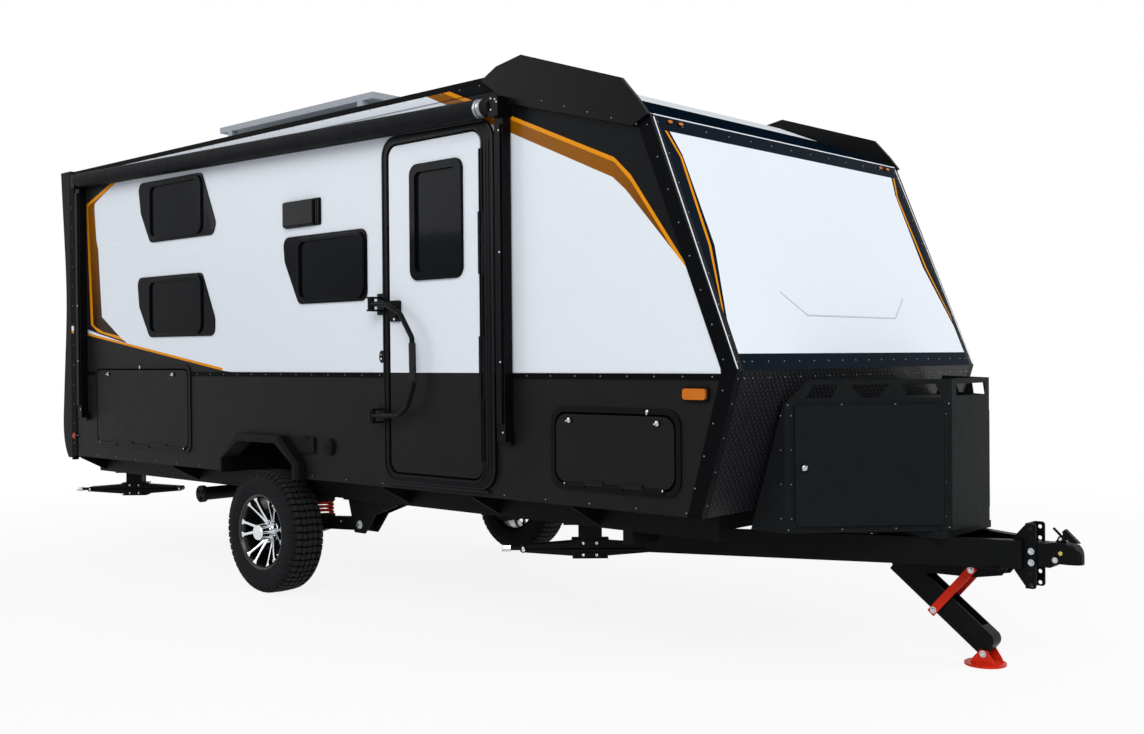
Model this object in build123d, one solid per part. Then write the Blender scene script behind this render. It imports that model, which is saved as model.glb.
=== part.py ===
from build123d import *
import math
import os

# Single-axle travel trailer, in millimetres.
# X points forward to the coupler, Y to the road side, Z up; the door is on the -Y side.
# The origin is on the ground, under the middle of the whole trailer.

# Running gear
axle_x = -925
tyre_r = 381
tyre_w = 235
rim_lip_r = 236
rim_bead_r = 222
wheel_y = 1097
spoke_count = 12
spoke_turn = 32
cap_r = 52
hub_drum_r = 150
spindle_r = 32
spindle_in = 40
arm_y = 860
arm_w = 60
pivot_dx = 620
pivot_z = 450
spring_dx = 200
spring_r = 48
spring_wire = 9
spring_turns = 4.5# Body shell
body_half = 1160
wall_t = 45
floor_z = 733
roof_z = 2880
chin_z = 1385
rear_x = -3490
ridge_x = 1375
front_top_x = 2150
front_top_z = 2550
chin_x = 2620
low_x = 2423
belt_z = 1360
trim_t = 7
trim_w = 75
cap_t = 14

# Entry door
door_x0 = 260
door_x1 = 1145
door_z0 = 770
door_z1 = 2670
door_frame_t = 16
door_jamb = 46
door_hinge_jamb = 90
door_corner_r = 110
door_hinge_out = 22
door_leaf_out = 12
door_window = (497, 918, 1868, 2496)
door_sash = 46

# Folding grab handle beside the door
handle_x = 226
handle_z0 = 1132
handle_z1 = 1752
handle_out = 74
handle_r = 14
sleeve_half = 30

# Windows on each side: the corners of the dark glass as (x, z), and its sash as (x0, x1, z0, z1)
window_glass = {
    "upper_rear": [(-2450, 2692), (-1619, 2686), (-1456, 2340), (-1492, 2266), (-2290, 2268),
                   (-2413, 2478)],
    "lower_rear": [(-2474, 2032), (-1628, 2028), (-1479, 1723), (-1481, 1608), (-2311, 1612),
                   (-2450, 1827)],
    "middle": [(-703, 2188), (105, 2188), (105, 1778), (-548, 1780), (-688, 2041)],
}
window_sash = {
    "upper_rear": (-2292, -1612, 2284, 2674),
    "lower_rear": (-2310, -1620, 1626, 2014),
    "middle": (-552, 92, 1792, 2175),
}
glass_t = 8
sash_w = 26
sash_out = 14
sash_r = 70

# Cargo doors on each side, as (x0, x1, z0, z1, corner radius)
cargo_doors = {
    "rear": (-3110, -1786, 826, 1420, 60),
    "front": (1524, 2317, 812, 1212, 80),
}
cargo_gap = 10
cargo_lip = 26
cargo_frame_t = 8

# Wheel arch
arch_base = 384
arch_top = 205
arch_shoulder_z = 822
arch_top_z = 942
flare_w = 46
flare_out = 74
well_depth = 270
well_t = 6

# Frame
rail_y = 955
rail_w = 50
rail_z0 = 606
tongue_x0 = 1800
tongue_x1 = 3405
tongue_nose_y = 82
tongue_h = 127
tongue_w = 50
tongue_slope = 0.4346
cross_x = (-3440, -2750, -1500, -330, 600, 1440, 2260)
outrigger_x = (-3395, -2055, 209, 938, 1646)

# Coupler
ball_d = 58.7
ball_x = 3592
ball_z = 545
hitch_x0 = 3412
hitch_half = 55
hitch_depth = 48
hitch_z0 = 388
hitch_z1 = 682
hole_x = 3438
hole_rows = (404, 455, 506, 557, 608, 659)

# Drop leg under the tongue, as (x, z) points in its own plane
leg_top = (2785, 436)
leg_low = (3239, 84)
leg_half = 42
leg_pivot = (2800, 425)
strut_top = (3154, 442)
strut_low = (2966, 231)
strut_w = 40
foot_x = 3198
foot_pin = (3208, 58)

# Scissor stabilisers
jack_drop = 92
scissor_y = body_half - 338

# Front storage box on the tongue
box_z0 = 640
box_z1 = 1235
box_half = 755
box_nose_half = 200
box_nose_x = 3135
box_side_x = 2595
box_t = 5
truss_h = 100
face_length = math.hypot(box_nose_x - box_side_x, box_half - box_nose_half)
box_door_margin = 58
box_hinge_out = 9

# The upright tail lamps, let into the rear cap
lamp_x0 = rear_x - 172
lamp_x1 = rear_x - 118
lamp_y0 = 985
lamp_y1 = 1085
lamp_z0 = 905
lamp_z1 = 1175

# Awning, rolled in
awning_x0 = -3180
awning_x1 = 1108
awning_y = -body_half - 76
awning_z0 = 2786
awning_z1 = 2704
awning_r = 50

fit = 0.3
swing = 9


def plate_xz(points, y0, y1):
    """A flat plate whose outline is given as (x, z) points, from y0 to y1."""
    face = Plane.XZ * make_face(Polyline(*points, close=True))
    return Pos(0, y0, 0) * extrude(face, amount=y1 - y0, dir=(0, 1, 0))


def plate_xy(points, z0, z1):
    """A flat plate whose outline is given as (x, y) points, from z0 to z1."""
    face = make_face(Polyline(*points, close=True))
    return Pos(0, 0, z0) * extrude(face, amount=z1 - z0)


def block(x0, x1, y0, y1, z0, z1):
    return Pos((x0 + x1) / 2, (y0 + y1) / 2, (z0 + z1) / 2) * Box(
        abs(x1 - x0), abs(y1 - y0), abs(z1 - z0))


def panel(x0, x1, z0, z1, y0, y1, r):
    """A plate with rounded corners, parallel to the side walls."""
    sketch = Pos((x0 + x1) / 2, (z0 + z1) / 2) * RectangleRounded(x1 - x0, z1 - z0, r)
    return Pos(0, y0, 0) * extrude(Plane.XZ * sketch, amount=y1 - y0, dir=(0, 1, 0))


def rod(a, b, r):
    """A round bar of radius r from point a to point b."""
    a = Vector(*a)
    b = Vector(*b)
    plane = Plane(origin=a, z_dir=(b - a).normalized())
    return extrude(plane * Circle(r), amount=(b - a).length)


def far(shape):
    """The same piece on the road side."""
    return mirror(shape, about=Plane.XZ)


def both(shape):
    """The piece and its mirror image, as two solids that don't touch."""
    return Compound(list(shape.solids()) + list(far(shape).solids()))


def group(*shapes):
    """Several solids kept apart in one node."""
    solids = []
    for shape in shapes:
        solids.extend(shape.solids())
    return Compound(solids)


def knuckle_row(place, length, count, r, pin_r, fixed_strap, moving_strap):
    """A butt hinge built along Z from 0 to length, then put in place.

    Returns its fixed half, with the pin and every second knuckle, and its moving half.
    """
    pitch = length / (2 * count + 1)
    fixed = Cylinder(pin_r, length, align=(Align.CENTER, Align.CENTER, Align.MIN))
    moving = []
    for k in range(2 * count + 1):
        z0, z1 = k * pitch + fit, (k + 1) * pitch - fit
        knuckle = Pos(0, 0, z0) * Cylinder(r, z1 - z0, align=(Align.CENTER, Align.CENTER, Align.MIN))
        if k % 2 == 0:
            fixed += knuckle + block(*fixed_strap, z0, z1)
        else:
            knuckle += block(*moving_strap, z0, z1)
            moving.append(knuckle - Pos(0, 0, z0 - 1) * Cylinder(
                pin_r + fit, z1 - z0 + 2, align=(Align.CENTER, Align.CENTER, Align.MIN)))
    return place * fixed, [place * piece for piece in moving]


def save(name, shape):
    export_step(shape, "parts/" + name + ".step")


def inset(points, t):
    """The corners of a closed outline moved inwards by t, edge by edge."""
    n = len(points)
    lines = []
    for i in range(n):
        (x0, z0), (x1, z1) = points[i], points[(i + 1) % n]
        length = math.hypot(x1 - x0, z1 - z0)
        nx, nz = (z1 - z0) / length, -(x1 - x0) / length
        lines.append((nx, nz, nx * x0 + nz * z0 + t))
    result = []
    for i in range(n):
        a, b, c = lines[i - 1]
        d, e, f = lines[i]
        det = a * e - b * d
        result.append(((c * e - b * f) / det, (a * f - c * d) / det))
    return result


# The body outline in side view, clockwise from the lower rear corner
outline = [
    (rear_x, floor_z),
    (rear_x, roof_z),
    (ridge_x, roof_z),
    (front_top_x, front_top_z),
    (chin_x, chin_z),
    (low_x, floor_z),
]
inner = inset(outline, wall_t)
inner_half = body_half - wall_t


def shell_panel(i, j):
    """The wall panel between outline corners i and j, as thick as the wall."""
    a, b = outline[i], outline[j]
    c, d = inner[j], inner[i]
    return plate_xz([a, b, c, d], -inner_half, inner_half)


def arch_points(grow=0, drop=0):
    """The angular wheel arch in side view, grown outwards by grow."""
    base = arch_base + grow
    top = arch_top + grow * 0.6
    return [
        (axle_x - base, floor_z - drop),
        (axle_x - base, arch_shoulder_z),
        (axle_x - top, arch_top_z + grow),
        (axle_x + top, arch_top_z + grow),
        (axle_x + base, arch_shoulder_z),
        (axle_x + base, floor_z - drop),
    ]


def side_wall(with_door):
    """A whole side wall on the -Y side, with its openings cut through."""
    wall = plate_xz(outline, -body_half, -inner_half)
    y0, y1 = -body_half - 5, -inner_half + 5
    if with_door:
        wall -= panel(door_x0 + 20, door_x1 - 20, door_z0 + 20, door_z1 - 20, y0, y1,
                      door_corner_r - 20)
    for x0, x1, z0, z1 in window_sash.values():
        wall -= panel(x0 + 20, x1 - 20, z0 + 20, z1 - 20, y0, y1, sash_r - 20)
    for x0, x1, z0, z1, r in cargo_doors.values():
        wall -= panel(x0 + cargo_lip, x1 - cargo_lip, z0 + cargo_lip, z1 - cargo_lip, y0, y1,
                      r - cargo_lip / 2)
    wall -= plate_xz(arch_points(drop=10), y0, y1)
    return wall


def floor_panel():
    """The floor slab, open where the wheels stand in it."""
    slab = shell_panel(5, 0)
    x0, x1 = axle_x - arch_base, axle_x + arch_base
    for side in (-1, 1):
        slab -= block(x0, x1, side * (inner_half - well_depth), side * (inner_half + 10),
                      floor_z - 5, floor_z + wall_t + 5)
    return slab


def wheel_well():
    """A sheet housing over the near wheel, open below and to the outside."""
    x0, x1 = axle_x - arch_base, axle_x + arch_base
    y0, y1 = -inner_half, -inner_half + well_depth
    z1 = arch_top_z + 30
    outer = block(x0, x1, y0, y1, floor_z, z1)
    hollow = block(x0 + well_t, x1 - well_t, y0 - 1, y1 - well_t, floor_z - 1, z1 - well_t)
    return outer - hollow


def wheel_flare():
    """The angular fender flare that frames the near wheel arch."""
    outside = plate_xz(arch_points(grow=flare_w), -body_half - flare_out, -body_half)
    rim_edges = outside.faces().sort_by(Axis.Y)[0].outer_wire().edges()
    high = [edge for edge in rim_edges if edge.center().Z > floor_z + 5]
    outside = chamfer(high, 18)
    opening = plate_xz(arch_points(drop=10), -body_half - flare_out - 1, -body_half + 1)
    return outside - opening


def cap_solid(points, half):
    """The space between the rear wall and a smooth curve through the points."""
    skin = Spline(*points)
    foot, head = (rear_x, points[-1][1]), (rear_x, points[0][1])
    face = Plane.XZ * make_face([skin, Polyline(points[-1], foot, head, points[0])])
    return Pos(0, -half, 0) * extrude(face, amount=2 * half, dir=(0, 1, 0))


def rear_cap():
    """The moulded rear cap: a gently waisted panel with a bumper bulge low down."""
    proud = [(-155, roof_z + 14), (-112, 2380), (-88, 1920), (-130, 1350), (-152, 1100),
             (-160, 980), (-112, 760), (-80, 716)]
    cap = cap_solid([(rear_x + dx, z) for dx, z in proud], body_half - 4)
    hollow = [(rear_x + dx + cap_t, z) for dx, z in proud]
    hollow[0] = (hollow[0][0], roof_z + 14 - cap_t)
    hollow[-1] = (hollow[-1][0], 716 + cap_t)
    cap -= cap_solid(hollow, body_half - 4 - cap_t)
    for side in (-1, 1):
        cap -= block(rear_x - 200, lamp_x1 + fit, side * (lamp_y0 - fit), side * (lamp_y1 + fit),
                     lamp_z0 - fit, lamp_z1 + fit)
    return cap


def edge_trim():
    """The dark extrusion that frames the near side wall along its rear, top and nose."""
    band = plate_xz(outline, -body_half - trim_t, -body_half)
    within = inset(outline, trim_w)
    within[0] = (within[0][0], floor_z - 20)
    within[-1] = (low_x - trim_w * 1.05, floor_z - 20)
    band -= plate_xz(within, -body_half - trim_t - 1, -body_half + 1)
    foot = block(rear_x, rear_x + 32, -body_half - trim_t, -body_half + 30, floor_z - 30, floor_z)
    return band + foot


def belt_rail(with_door):
    """The riveted moulding along a side wall at belt height."""
    z0, z1 = belt_z - 16, belt_z + 12
    y0, y1 = -body_half - 5, -body_half
    rear = cargo_doors["rear"]
    rail = block(rear_x + trim_w, rear[0] - 14, y0, y1, z0, z1)
    rail += block(rear[1] + 14, chin_x - trim_w - 20, y0, y1, z0, z1)
    if with_door:
        rail -= block(door_x0 - 2, door_x1 + 2, y0 - 1, y1 + 1, z0 - 1, z1 + 1)
    return rail


def fairing():
    """The upright wing plate that carries the roof line forward on the near side."""
    points = [
        (ridge_x - 300, roof_z - 20),
        (ridge_x - 190, roof_z + 35),
        (ridge_x - 13, roof_z + 65),
        (ridge_x + 630, roof_z - 149),
        (front_top_x - 50, front_top_z + 75),
        (front_top_x + 12, front_top_z - 5),
        (front_top_x - 80, front_top_z - 48),
        (ridge_x + 50, roof_z - 205),
        (ridge_x - 100, roof_z - 160),
    ]
    y = -body_half - trim_t
    return plate_xz(points, y - 22, y)


def door_hinge():
    """The entry door's hinge on its forward edge."""
    z0, z1 = door_z0 + door_corner_r + 40, door_z1 - door_corner_r - 40
    hinge_x = door_x1 - door_hinge_jamb - swing / 2
    place = Pos(hinge_x, -body_half - door_hinge_out, z0)
    return knuckle_row(place, z1 - z0, 2, 5, 2.5, (0, 16, 0, door_hinge_out - door_frame_t),
                       (-16, 0, 0, door_hinge_out - door_leaf_out))


def door_frame():
    """The door's outer frame, wide on its hinge side."""
    y0, y1 = -body_half - door_frame_t, -body_half
    frame = panel(door_x0, door_x1, door_z0, door_z1, y0, y1, door_corner_r)
    frame -= panel(door_x0 + door_jamb, door_x1 - door_hinge_jamb, door_z0 + door_jamb,
                   door_z1 - door_jamb, y0 - 1, y1 + 1, door_corner_r - 40)
    return frame + door_hinge()[0]


def leaf_box(gap):
    return (door_x0 + door_jamb + gap, door_x1 - door_hinge_jamb - gap,
            door_z0 + door_jamb + gap, door_z1 - door_jamb - gap)


def door_leaf():
    """The entry door leaf, as thick as the wall, with its window opening."""
    x0, x1, z0, z1 = leaf_box(swing)
    y0 = -body_half - door_leaf_out
    leaf = panel(x0, x1, z0, z1, y0, y0 + wall_t, door_corner_r - 46)
    leaf -= door_window_blank(18, -body_half - 20, -inner_half + 5)
    for knuckle in door_hinge()[1]:
        leaf += knuckle
    return leaf


def door_window_blank(shrink, y0, y1):
    """A rounded blank for the door's window, smaller than its frame by shrink."""
    x0, x1, z0, z1 = door_window
    return panel(x0 + shrink, x1 - shrink, z0 + shrink, z1 - shrink, y0, y1, 60 - shrink * 0.6)


def door_pane():
    """The door's window: its pane in the leaf and the raised frame round it."""
    y0 = -body_half - door_leaf_out
    pane = door_window_blank(18 + fit, y0 + 2, y0 + 24)
    frame = door_window_blank(0, y0 - 14, y0)
    frame = fillet(frame.faces().sort_by(Axis.Y)[0].outer_wire().edges(), 6)
    return group(pane, frame - door_window_blank(door_sash, y0 - 15, y0 + 1))


def door_latch():
    """The door's pull latch with its housing."""
    x0, x1, z0, z1 = 322, 412, 1652, 1768
    y = -body_half - door_leaf_out
    body = panel(x0, x1, z0, z1, y - 14, y, 14)
    paddle = panel(x0 + 14, x1 - 14, z0 + 22, z1 - 40, y - 28, y - 14, 10)
    return body + paddle


def grab_handle():
    """The folding assist handle: one bent tube with a gripped upright and two sleeves."""
    y = -body_half - handle_out
    bends = [
        (handle_x, handle_z1), (handle_x + 130, handle_z1 - 4), (handle_x + 250, handle_z1 - 62),
        (handle_x + 345, handle_z1 - 192), (handle_x + 350, handle_z0 + 168),
        (handle_x + 300, handle_z0 + 58), (handle_x + 230, handle_z0 + 8), (handle_x, handle_z0)]
    path = FilletPolyline(*[(x, y, z) for x, z in bends], radius=45)
    start = Plane(origin=path @ 0, z_dir=path % 0)
    handle = sweep(start * Circle(handle_r), path=path)
    top = Vector(bends[3][0], y, bends[3][1])
    low = Vector(bends[4][0], y, bends[4][1])
    handle += rod(top + (low - top) * 0.14, top + (low - top) * 0.86, handle_r + 4)
    for z in (handle_z0, handle_z1):
        handle += rod((handle_x, y, z - sleeve_half), (handle_x, y, z + sleeve_half), 19)
    return handle


def handle_brackets():
    """The two wall brackets whose forks hold the handle's sleeves."""
    y = -body_half - handle_out
    brackets = []
    for z in (handle_z0, handle_z1):
        plate = panel(handle_x - 32, handle_x + 32, z - 60, z + 60, -body_half - 6, -body_half, 10)
        for z0 in (z - sleeve_half - fit - 10, z + sleeve_half + fit):
            plate += block(handle_x - 20, handle_x + 20, y - 16, -body_half, z0, z0 + 10)
        brackets.append(plate)
    return group(*brackets)


def window_frame(name):
    """A window's opening sash: one raised ring with round corners, standing on the glass."""
    x0, x1, z0, z1 = window_sash[name]
    y1 = -body_half - glass_t
    ring = panel(x0, x1, z0, z1, y1 - sash_out, y1, sash_r)
    front = ring.faces().sort_by(Axis.Y)[0].outer_wire().edges()
    ring = fillet(front, 6)
    return ring - panel(x0 + sash_w, x1 - sash_w, z0 + sash_w, z1 - sash_w, y1 - sash_out - 1,
                        y1 + 1, sash_r - sash_w)


def window_pane(name):
    """A window's dark glass, flush on the wall and wider than its sash."""
    sketch = fillet(make_face(Polyline(*window_glass[name], close=True)).vertices(), 54)
    plate = extrude(Plane.XZ * sketch, amount=glass_t, dir=(0, 1, 0))
    return Pos(0, -body_half - glass_t, 0) * plate


def cargo_hinge(name):
    """The hinge along a cargo door's lower edge."""
    x0, x1, z0, z1, r = cargo_doors[name]
    out = cargo_frame_t + 6
    place = Plane(origin=(x0 + r + 20, -body_half - out, z0 + cargo_lip + cargo_gap / 2),
                  x_dir=(0, 1, 0), z_dir=(1, 0, 0)).location
    depth = out - cargo_frame_t
    return knuckle_row(place, x1 - x0 - 2 * r - 40, 2, 5, 2.5,
                       (0, depth, -18, 0), (0, depth, 0, 18))


def cargo_frame(name):
    x0, x1, z0, z1, r = cargo_doors[name]
    y0 = -body_half - cargo_frame_t
    ring = panel(x0, x1, z0, z1, y0, -body_half, r)
    ring -= panel(x0 + cargo_lip, x1 - cargo_lip, z0 + cargo_lip, z1 - cargo_lip,
                  y0 - 1, -body_half + 1, r - cargo_lip / 2)
    return ring + cargo_hinge(name)[0]


def cargo_leaf(name):
    """A cargo door leaf, as thick as the wall, that folds down on its lower edge."""
    x0, x1, z0, z1, r = cargo_doors[name]
    g = cargo_lip + cargo_gap
    y0 = -body_half - 8
    leaf = panel(x0 + g, x1 - g, z0 + g, z1 - g, y0, y0 + wall_t, r - cargo_lip / 2 - 2)
    for x in (x0 + 0.16 * (x1 - x0), x1 - 0.16 * (x1 - x0)):
        lock = rod((x, -body_half - 8, z1 - g - 30), (x, -body_half - 15, z1 - g - 30), 14)
        leaf += lock
    for knuckle in cargo_hinge(name)[1]:
        leaf += knuckle
    return leaf


def awning_tube():
    """The rolled awning on its tube, sloping a little to the front."""
    rear = (awning_x0, awning_y, awning_z0)
    front = (awning_x1, awning_y, awning_z1)
    roll = rod(rear, front, awning_r)
    cap = rod(front, (awning_x1 + 96, awning_y, awning_z1 - 2), 40)
    tail = rod((awning_x0 - 30, awning_y, awning_z0), rear, 40)
    return roll + cap + tail


def awning_arms():
    """The two folded awning arms, each a slim box section with feet at both ends."""
    arms = []
    wall = -body_half
    for x, z_top in ((awning_x0 - 62, awning_z0), (awning_x1 + 130, awning_z1)):
        arm = block(x - 30, x + 30, wall - 64, wall - 12, 1030, z_top + 10)
        inner_arm = block(x - 19, x + 19, wall - 78, wall - 64, 1120, z_top - 90)
        foot = block(x - 34, x + 34, wall - 30, wall - trim_t, 1010, 1080)
        wall_foot = block(x - 30, x + 30, wall - 18, wall, 1030, 1070)
        head = block(x - 32, x + 32, awning_y - 26, awning_y + 44, z_top - 55, z_top + 45)
        hanger = block(x - 30, x + 30, wall - 18, wall, z_top - 50, z_top - 10)
        arms.append(arm + inner_arm + foot + wall_foot + head + hanger)
    return group(*arms)


def roof_panel():
    """The roof: level to its ridge, then sloping down to the nose."""
    return shell_panel(1, 2) + shell_panel(2, 3)


def solar_panel():
    """A low framed solar panel on four feet."""
    x0, x1, y0, y1 = -1690, -60, -980, 20
    deck = block(x0, x1, y0, y1, roof_z + 92, roof_z + 130)
    feet = []
    for x in (x0 + 120, x1 - 120):
        for y in (y0 + 20, y1 - 20):
            feet.append(block(x - 25, x + 25, y - 20, y + 20, roof_z, roof_z + 92))
    for foot in feet:
        deck += foot
    return deck


def vent_hood():
    """The small stove vent high on the near wall: a smooth hood with a ribbed forward end."""
    y = -body_half
    hood = panel(-684, -323, 2240, 2402, y - 6, y, 12)
    cover = panel(-680, -368, 2244, 2398, y - 30, y - 6, 14)
    hood += fillet(cover.faces().sort_by(Axis.Y)[0].outer_wire().edges(), 10)
    for x in (-356, -338):
        hood += block(x, x + 8, y - 18, y - 6, 2248, 2394)
    return hood


def service_inlets():
    """The square and the round inlet low on the near wall."""
    square = panel(-560, -400, 890, 990, -body_half - 14, -body_half, 14)
    round_one = rod((-258, -body_half, 936), (-258, -body_half - 16, 936), 50)
    return group(square, round_one)


def tyre():
    """The tyre as one turned ring with a bulged sidewall and cut shoulders."""
    half = tyre_w / 2
    side = [
        (rim_bead_r, -half + 34), (tyre_r - 88, -half), (tyre_r - 30, -half + 7),
        (tyre_r, -half + 34)]
    points = side + [(r, -y) for r, y in reversed(side)]
    face = make_face(Polyline(*points, close=True))
    ring = revolve(face, axis=Axis.Y)
    return Pos(axle_x, 0, tyre_r) * ring


def rim():
    """The alloy wheel: barrel, six forked spokes with pads at the lip, and a capped hub."""
    half = tyre_w / 2
    barrel_points = [
        (rim_lip_r, -half + 20), (rim_lip_r, -half + 12), (rim_lip_r - 12, -half + 12),
        (rim_lip_r - 34, -20), (rim_lip_r - 34, half - 30), (rim_lip_r, half - 12),
        (rim_lip_r, half - 20), (rim_bead_r - fit, half - 26), (rim_lip_r - 26, half - 44),
        (rim_lip_r - 26, -20), (rim_bead_r - fit, -half + 34)]
    barrel = revolve(make_face(Polyline(*barrel_points, close=True)), axis=Axis.Y)
    hub = rod((0, -half + 34, 0), (0, 10, 0), 80)
    cap = rod((0, -half + 8, 0), (0, -half + 34, 0), cap_r)
    wheel = barrel + hub + cap - rod((0, -spindle_in - 4, 0), (0, 11, 0), spindle_r + fit)
    for k in range(spoke_count // 2):
        for lean in (-1, 1):
            spoke = plate_xz(spoke_points(lean), -half + 22, -half + 50)
            wheel += Rot(0, 360 / (spoke_count // 2) * k + spoke_turn, 0) * spoke
    return Pos(axle_x, 0, tyre_r) * wheel


def spoke_points(lean):
    """One branch of a forked spoke, from the hub to its wide pad at the lip, leaning to a side."""
    stations = [(44, 0.04, 13), (96, 0.09, 10), (150, 0.15, 8), (186, 0.185, 8), (200, 0.20, 17),
                (208, 0.20, 22)]
    left = []
    right = []
    for r, turn, wide in stations:
        x, z = r * math.sin(lean * turn), r * math.cos(lean * turn)
        left.append((x - wide, z))
        right.append((x + wide, z))
    return left + right[::-1]


def hub_and_brake():
    """The fixed brake drum and stub axle behind the near wheel."""
    y_in = -arm_y - arm_w / 2
    drum = rod((axle_x, y_in - 22, tyre_r), (axle_x, -wheel_y - 5, tyre_r), hub_drum_r)
    drum -= rod((axle_x, -wheel_y + 30, tyre_r), (axle_x, -wheel_y - 6, tyre_r), 120)
    stub = rod((axle_x, y_in, tyre_r), (axle_x, -wheel_y - spindle_in, tyre_r), spindle_r)
    return drum + stub


def trailing_arm():
    """The near trailing arm from its pivot bush back to the stub axle."""
    px, pz = axle_x + pivot_dx, pivot_z
    y0, y1 = -arm_y - arm_w / 2, -arm_y + arm_w / 2
    points = [
        (axle_x - 62, tyre_r - 42), (axle_x - 62, tyre_r + 46), (axle_x + 70, tyre_r + 62),
        (axle_x + 290, 470), (px - 20, pz + 40), (px + 38, pz + 18), (px + 30, pz - 36),
        (axle_x + 260, 392), (axle_x + 60, tyre_r - 46)]
    arm = plate_xz(points, y0, y1)
    arm -= rod((px, y0 - 1, pz), (px, y1 + 1, pz), 18 + fit)
    bush = rod((px, y0 - 14, pz), (px, y0, pz), 30)
    seat = rod((axle_x + spring_dx, -arm_y, 448), (axle_x + spring_dx, -arm_y, seat_z0), 64)
    pin_hole = rod((px, y0 - 20, pz), (px, y1 + 1, pz), 18 + fit)
    return arm + (bush - pin_hole) + seat


seat_z0 = 476
seat_z1 = 598


def coil_spring():
    """One coil spring standing between the arm's seat and the frame."""
    height = seat_z1 - seat_z0 - 2 * spring_wire - 0.6
    pitch = height / spring_turns
    helix = Helix(pitch=pitch, height=height, radius=spring_r)
    start = Plane(origin=helix @ 0, z_dir=helix % 0)
    coil = sweep(start * RegularPolygon(spring_wire, 6), path=helix)
    return Pos(axle_x + spring_dx, -arm_y, seat_z0 + spring_wire + 0.3) * coil


def pivot_hanger():
    """The triangular hanger under the rail that carries the arm's pivot pin."""
    px, pz = axle_x + pivot_dx, pivot_z
    points = [(px - 110, rail_z0), (px - 50, pz - 50), (px + 50, pz - 50), (px + 150, 520),
              (px + 400, rail_z0)]
    cheeks = []
    for y0 in (-arm_y - arm_w / 2 - 26, -arm_y + arm_w / 2 + 10):
        cheeks.append(plate_xz(points, y0, y0 + 8))
    plate = block(px - 110, px + 400, -rail_y + 3, -arm_y + arm_w / 2 + 18, rail_z0 - 8, rail_z0)
    pin = rod((px, -arm_y - arm_w / 2 - 34, pz), (px, -arm_y + arm_w / 2 + 26, pz), 18)
    upper_seat = rod((axle_x + spring_dx, -arm_y, seat_z1), (axle_x + spring_dx, -arm_y, rail_z0),
                     64)
    return group(cheeks[0] + cheeks[1] + plate + pin, upper_seat)


def tongue_line(x):
    """Half the outer width of the tongue at x."""
    return tongue_nose_y + (tongue_x1 - x) * tongue_slope


def chassis():
    """Main rails, crossmembers and the side outriggers, welded into one frame."""
    z0, z1 = rail_z0, floor_z
    x0, x1 = rear_x + 20, low_x - 60
    rail = block(x0, x1, -rail_y, -rail_y + rail_w, z0, z1)
    rail -= block(x0 - 1, x1 + 1, -rail_y + 8, -rail_y + rail_w + 1, z0 + 8, z1 - 8)
    frame = rail + far(rail)
    for x in cross_x:
        frame += block(x, x + 50, -rail_y + 4, rail_y - 4, z0 + 30, z1)
    for x in outrigger_x:
        tri = make_face(Polyline((-body_half + 12, z1), (-rail_y + 2, z1), (-rail_y + 2, z0 + 12),
                                 (-body_half + 12, z1 - 14), close=True))
        gusset = Pos(x, 0, 0) * extrude(Plane.YZ * tri, amount=6)
        frame += gusset
        frame += far(gusset)
    return frame


def tongue():
    """The A-frame: two channels that meet at the hitch."""
    z1 = rail_z0
    z0 = z1 - tongue_h
    y0 = -tongue_line(tongue_x0)
    points = [
        (tongue_x0, y0), (tongue_x1, -tongue_nose_y), (tongue_x1, -tongue_nose_y + tongue_w),
        (tongue_x0, y0 + tongue_w)]
    rail = plate_xy(points, z0, z1)
    hollow = [
        (tongue_x0 - 1, y0 + 8), (tongue_x1 + 1, -tongue_nose_y + 8),
        (tongue_x1 + 1, -tongue_nose_y + tongue_w + 1), (tongue_x0 - 1, y0 + tongue_w + 1)]
    rail -= plate_xy(hollow, z0 + 8, z1 - 8)
    frame = rail + far(rail)
    frame += block(tongue_x0, tongue_x0 + 60, -rail_y, rail_y, z0 + 60, z1)
    for x in (2350, 2900):
        half = tongue_line(x + 60) - 4
        frame += block(x, x + 60, -half, half, z0 + 20, z1 - 20)
    nose = block(tongue_x1 - 30, tongue_x1, -tongue_nose_y, tongue_nose_y, z0, z1)
    return frame + nose


def hitch_channel():
    """The upright channel with its rows of adjusting holes, on two gusset plates."""
    half = hitch_half
    body = block(hitch_x0, hitch_x0 + 12, -half, half, hitch_z0, hitch_z1)
    for side in (-1, 1):
        y0 = min(side * (half - 8), side * half)
        flange = panel(hitch_x0, hitch_x0 + hitch_depth, hitch_z0, hitch_z1, y0, y0 + 8, 14)
        for z in hole_rows:
            flange -= rod((hole_x, y0 - 1, z), (hole_x, y0 + 9, z), 9.5)
        body += flange
        wing = [(3346, rail_z0 - 4), (hitch_x0 - 2, hitch_z1 - 8), (hitch_x0 + 8, hitch_z1 - 8),
                (hitch_x0 + 8, hitch_z0 + 12), (hitch_x0 - 2, hitch_z0 + 12), (3346, 486)]
        body += plate_xz(wing, y0, y0 + 8)
    for side in (-1, 1):
        y0 = min(side * (half - 8), side * half)
        body -= block(3300, tongue_x1 + fit, y0 - 1, y0 + 9, rail_z0 - tongue_h - fit,
                      rail_z0 + fit)
    return body + block(tongue_x1, hitch_x0, -half, half, rail_z0 - tongue_h, rail_z0)


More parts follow.
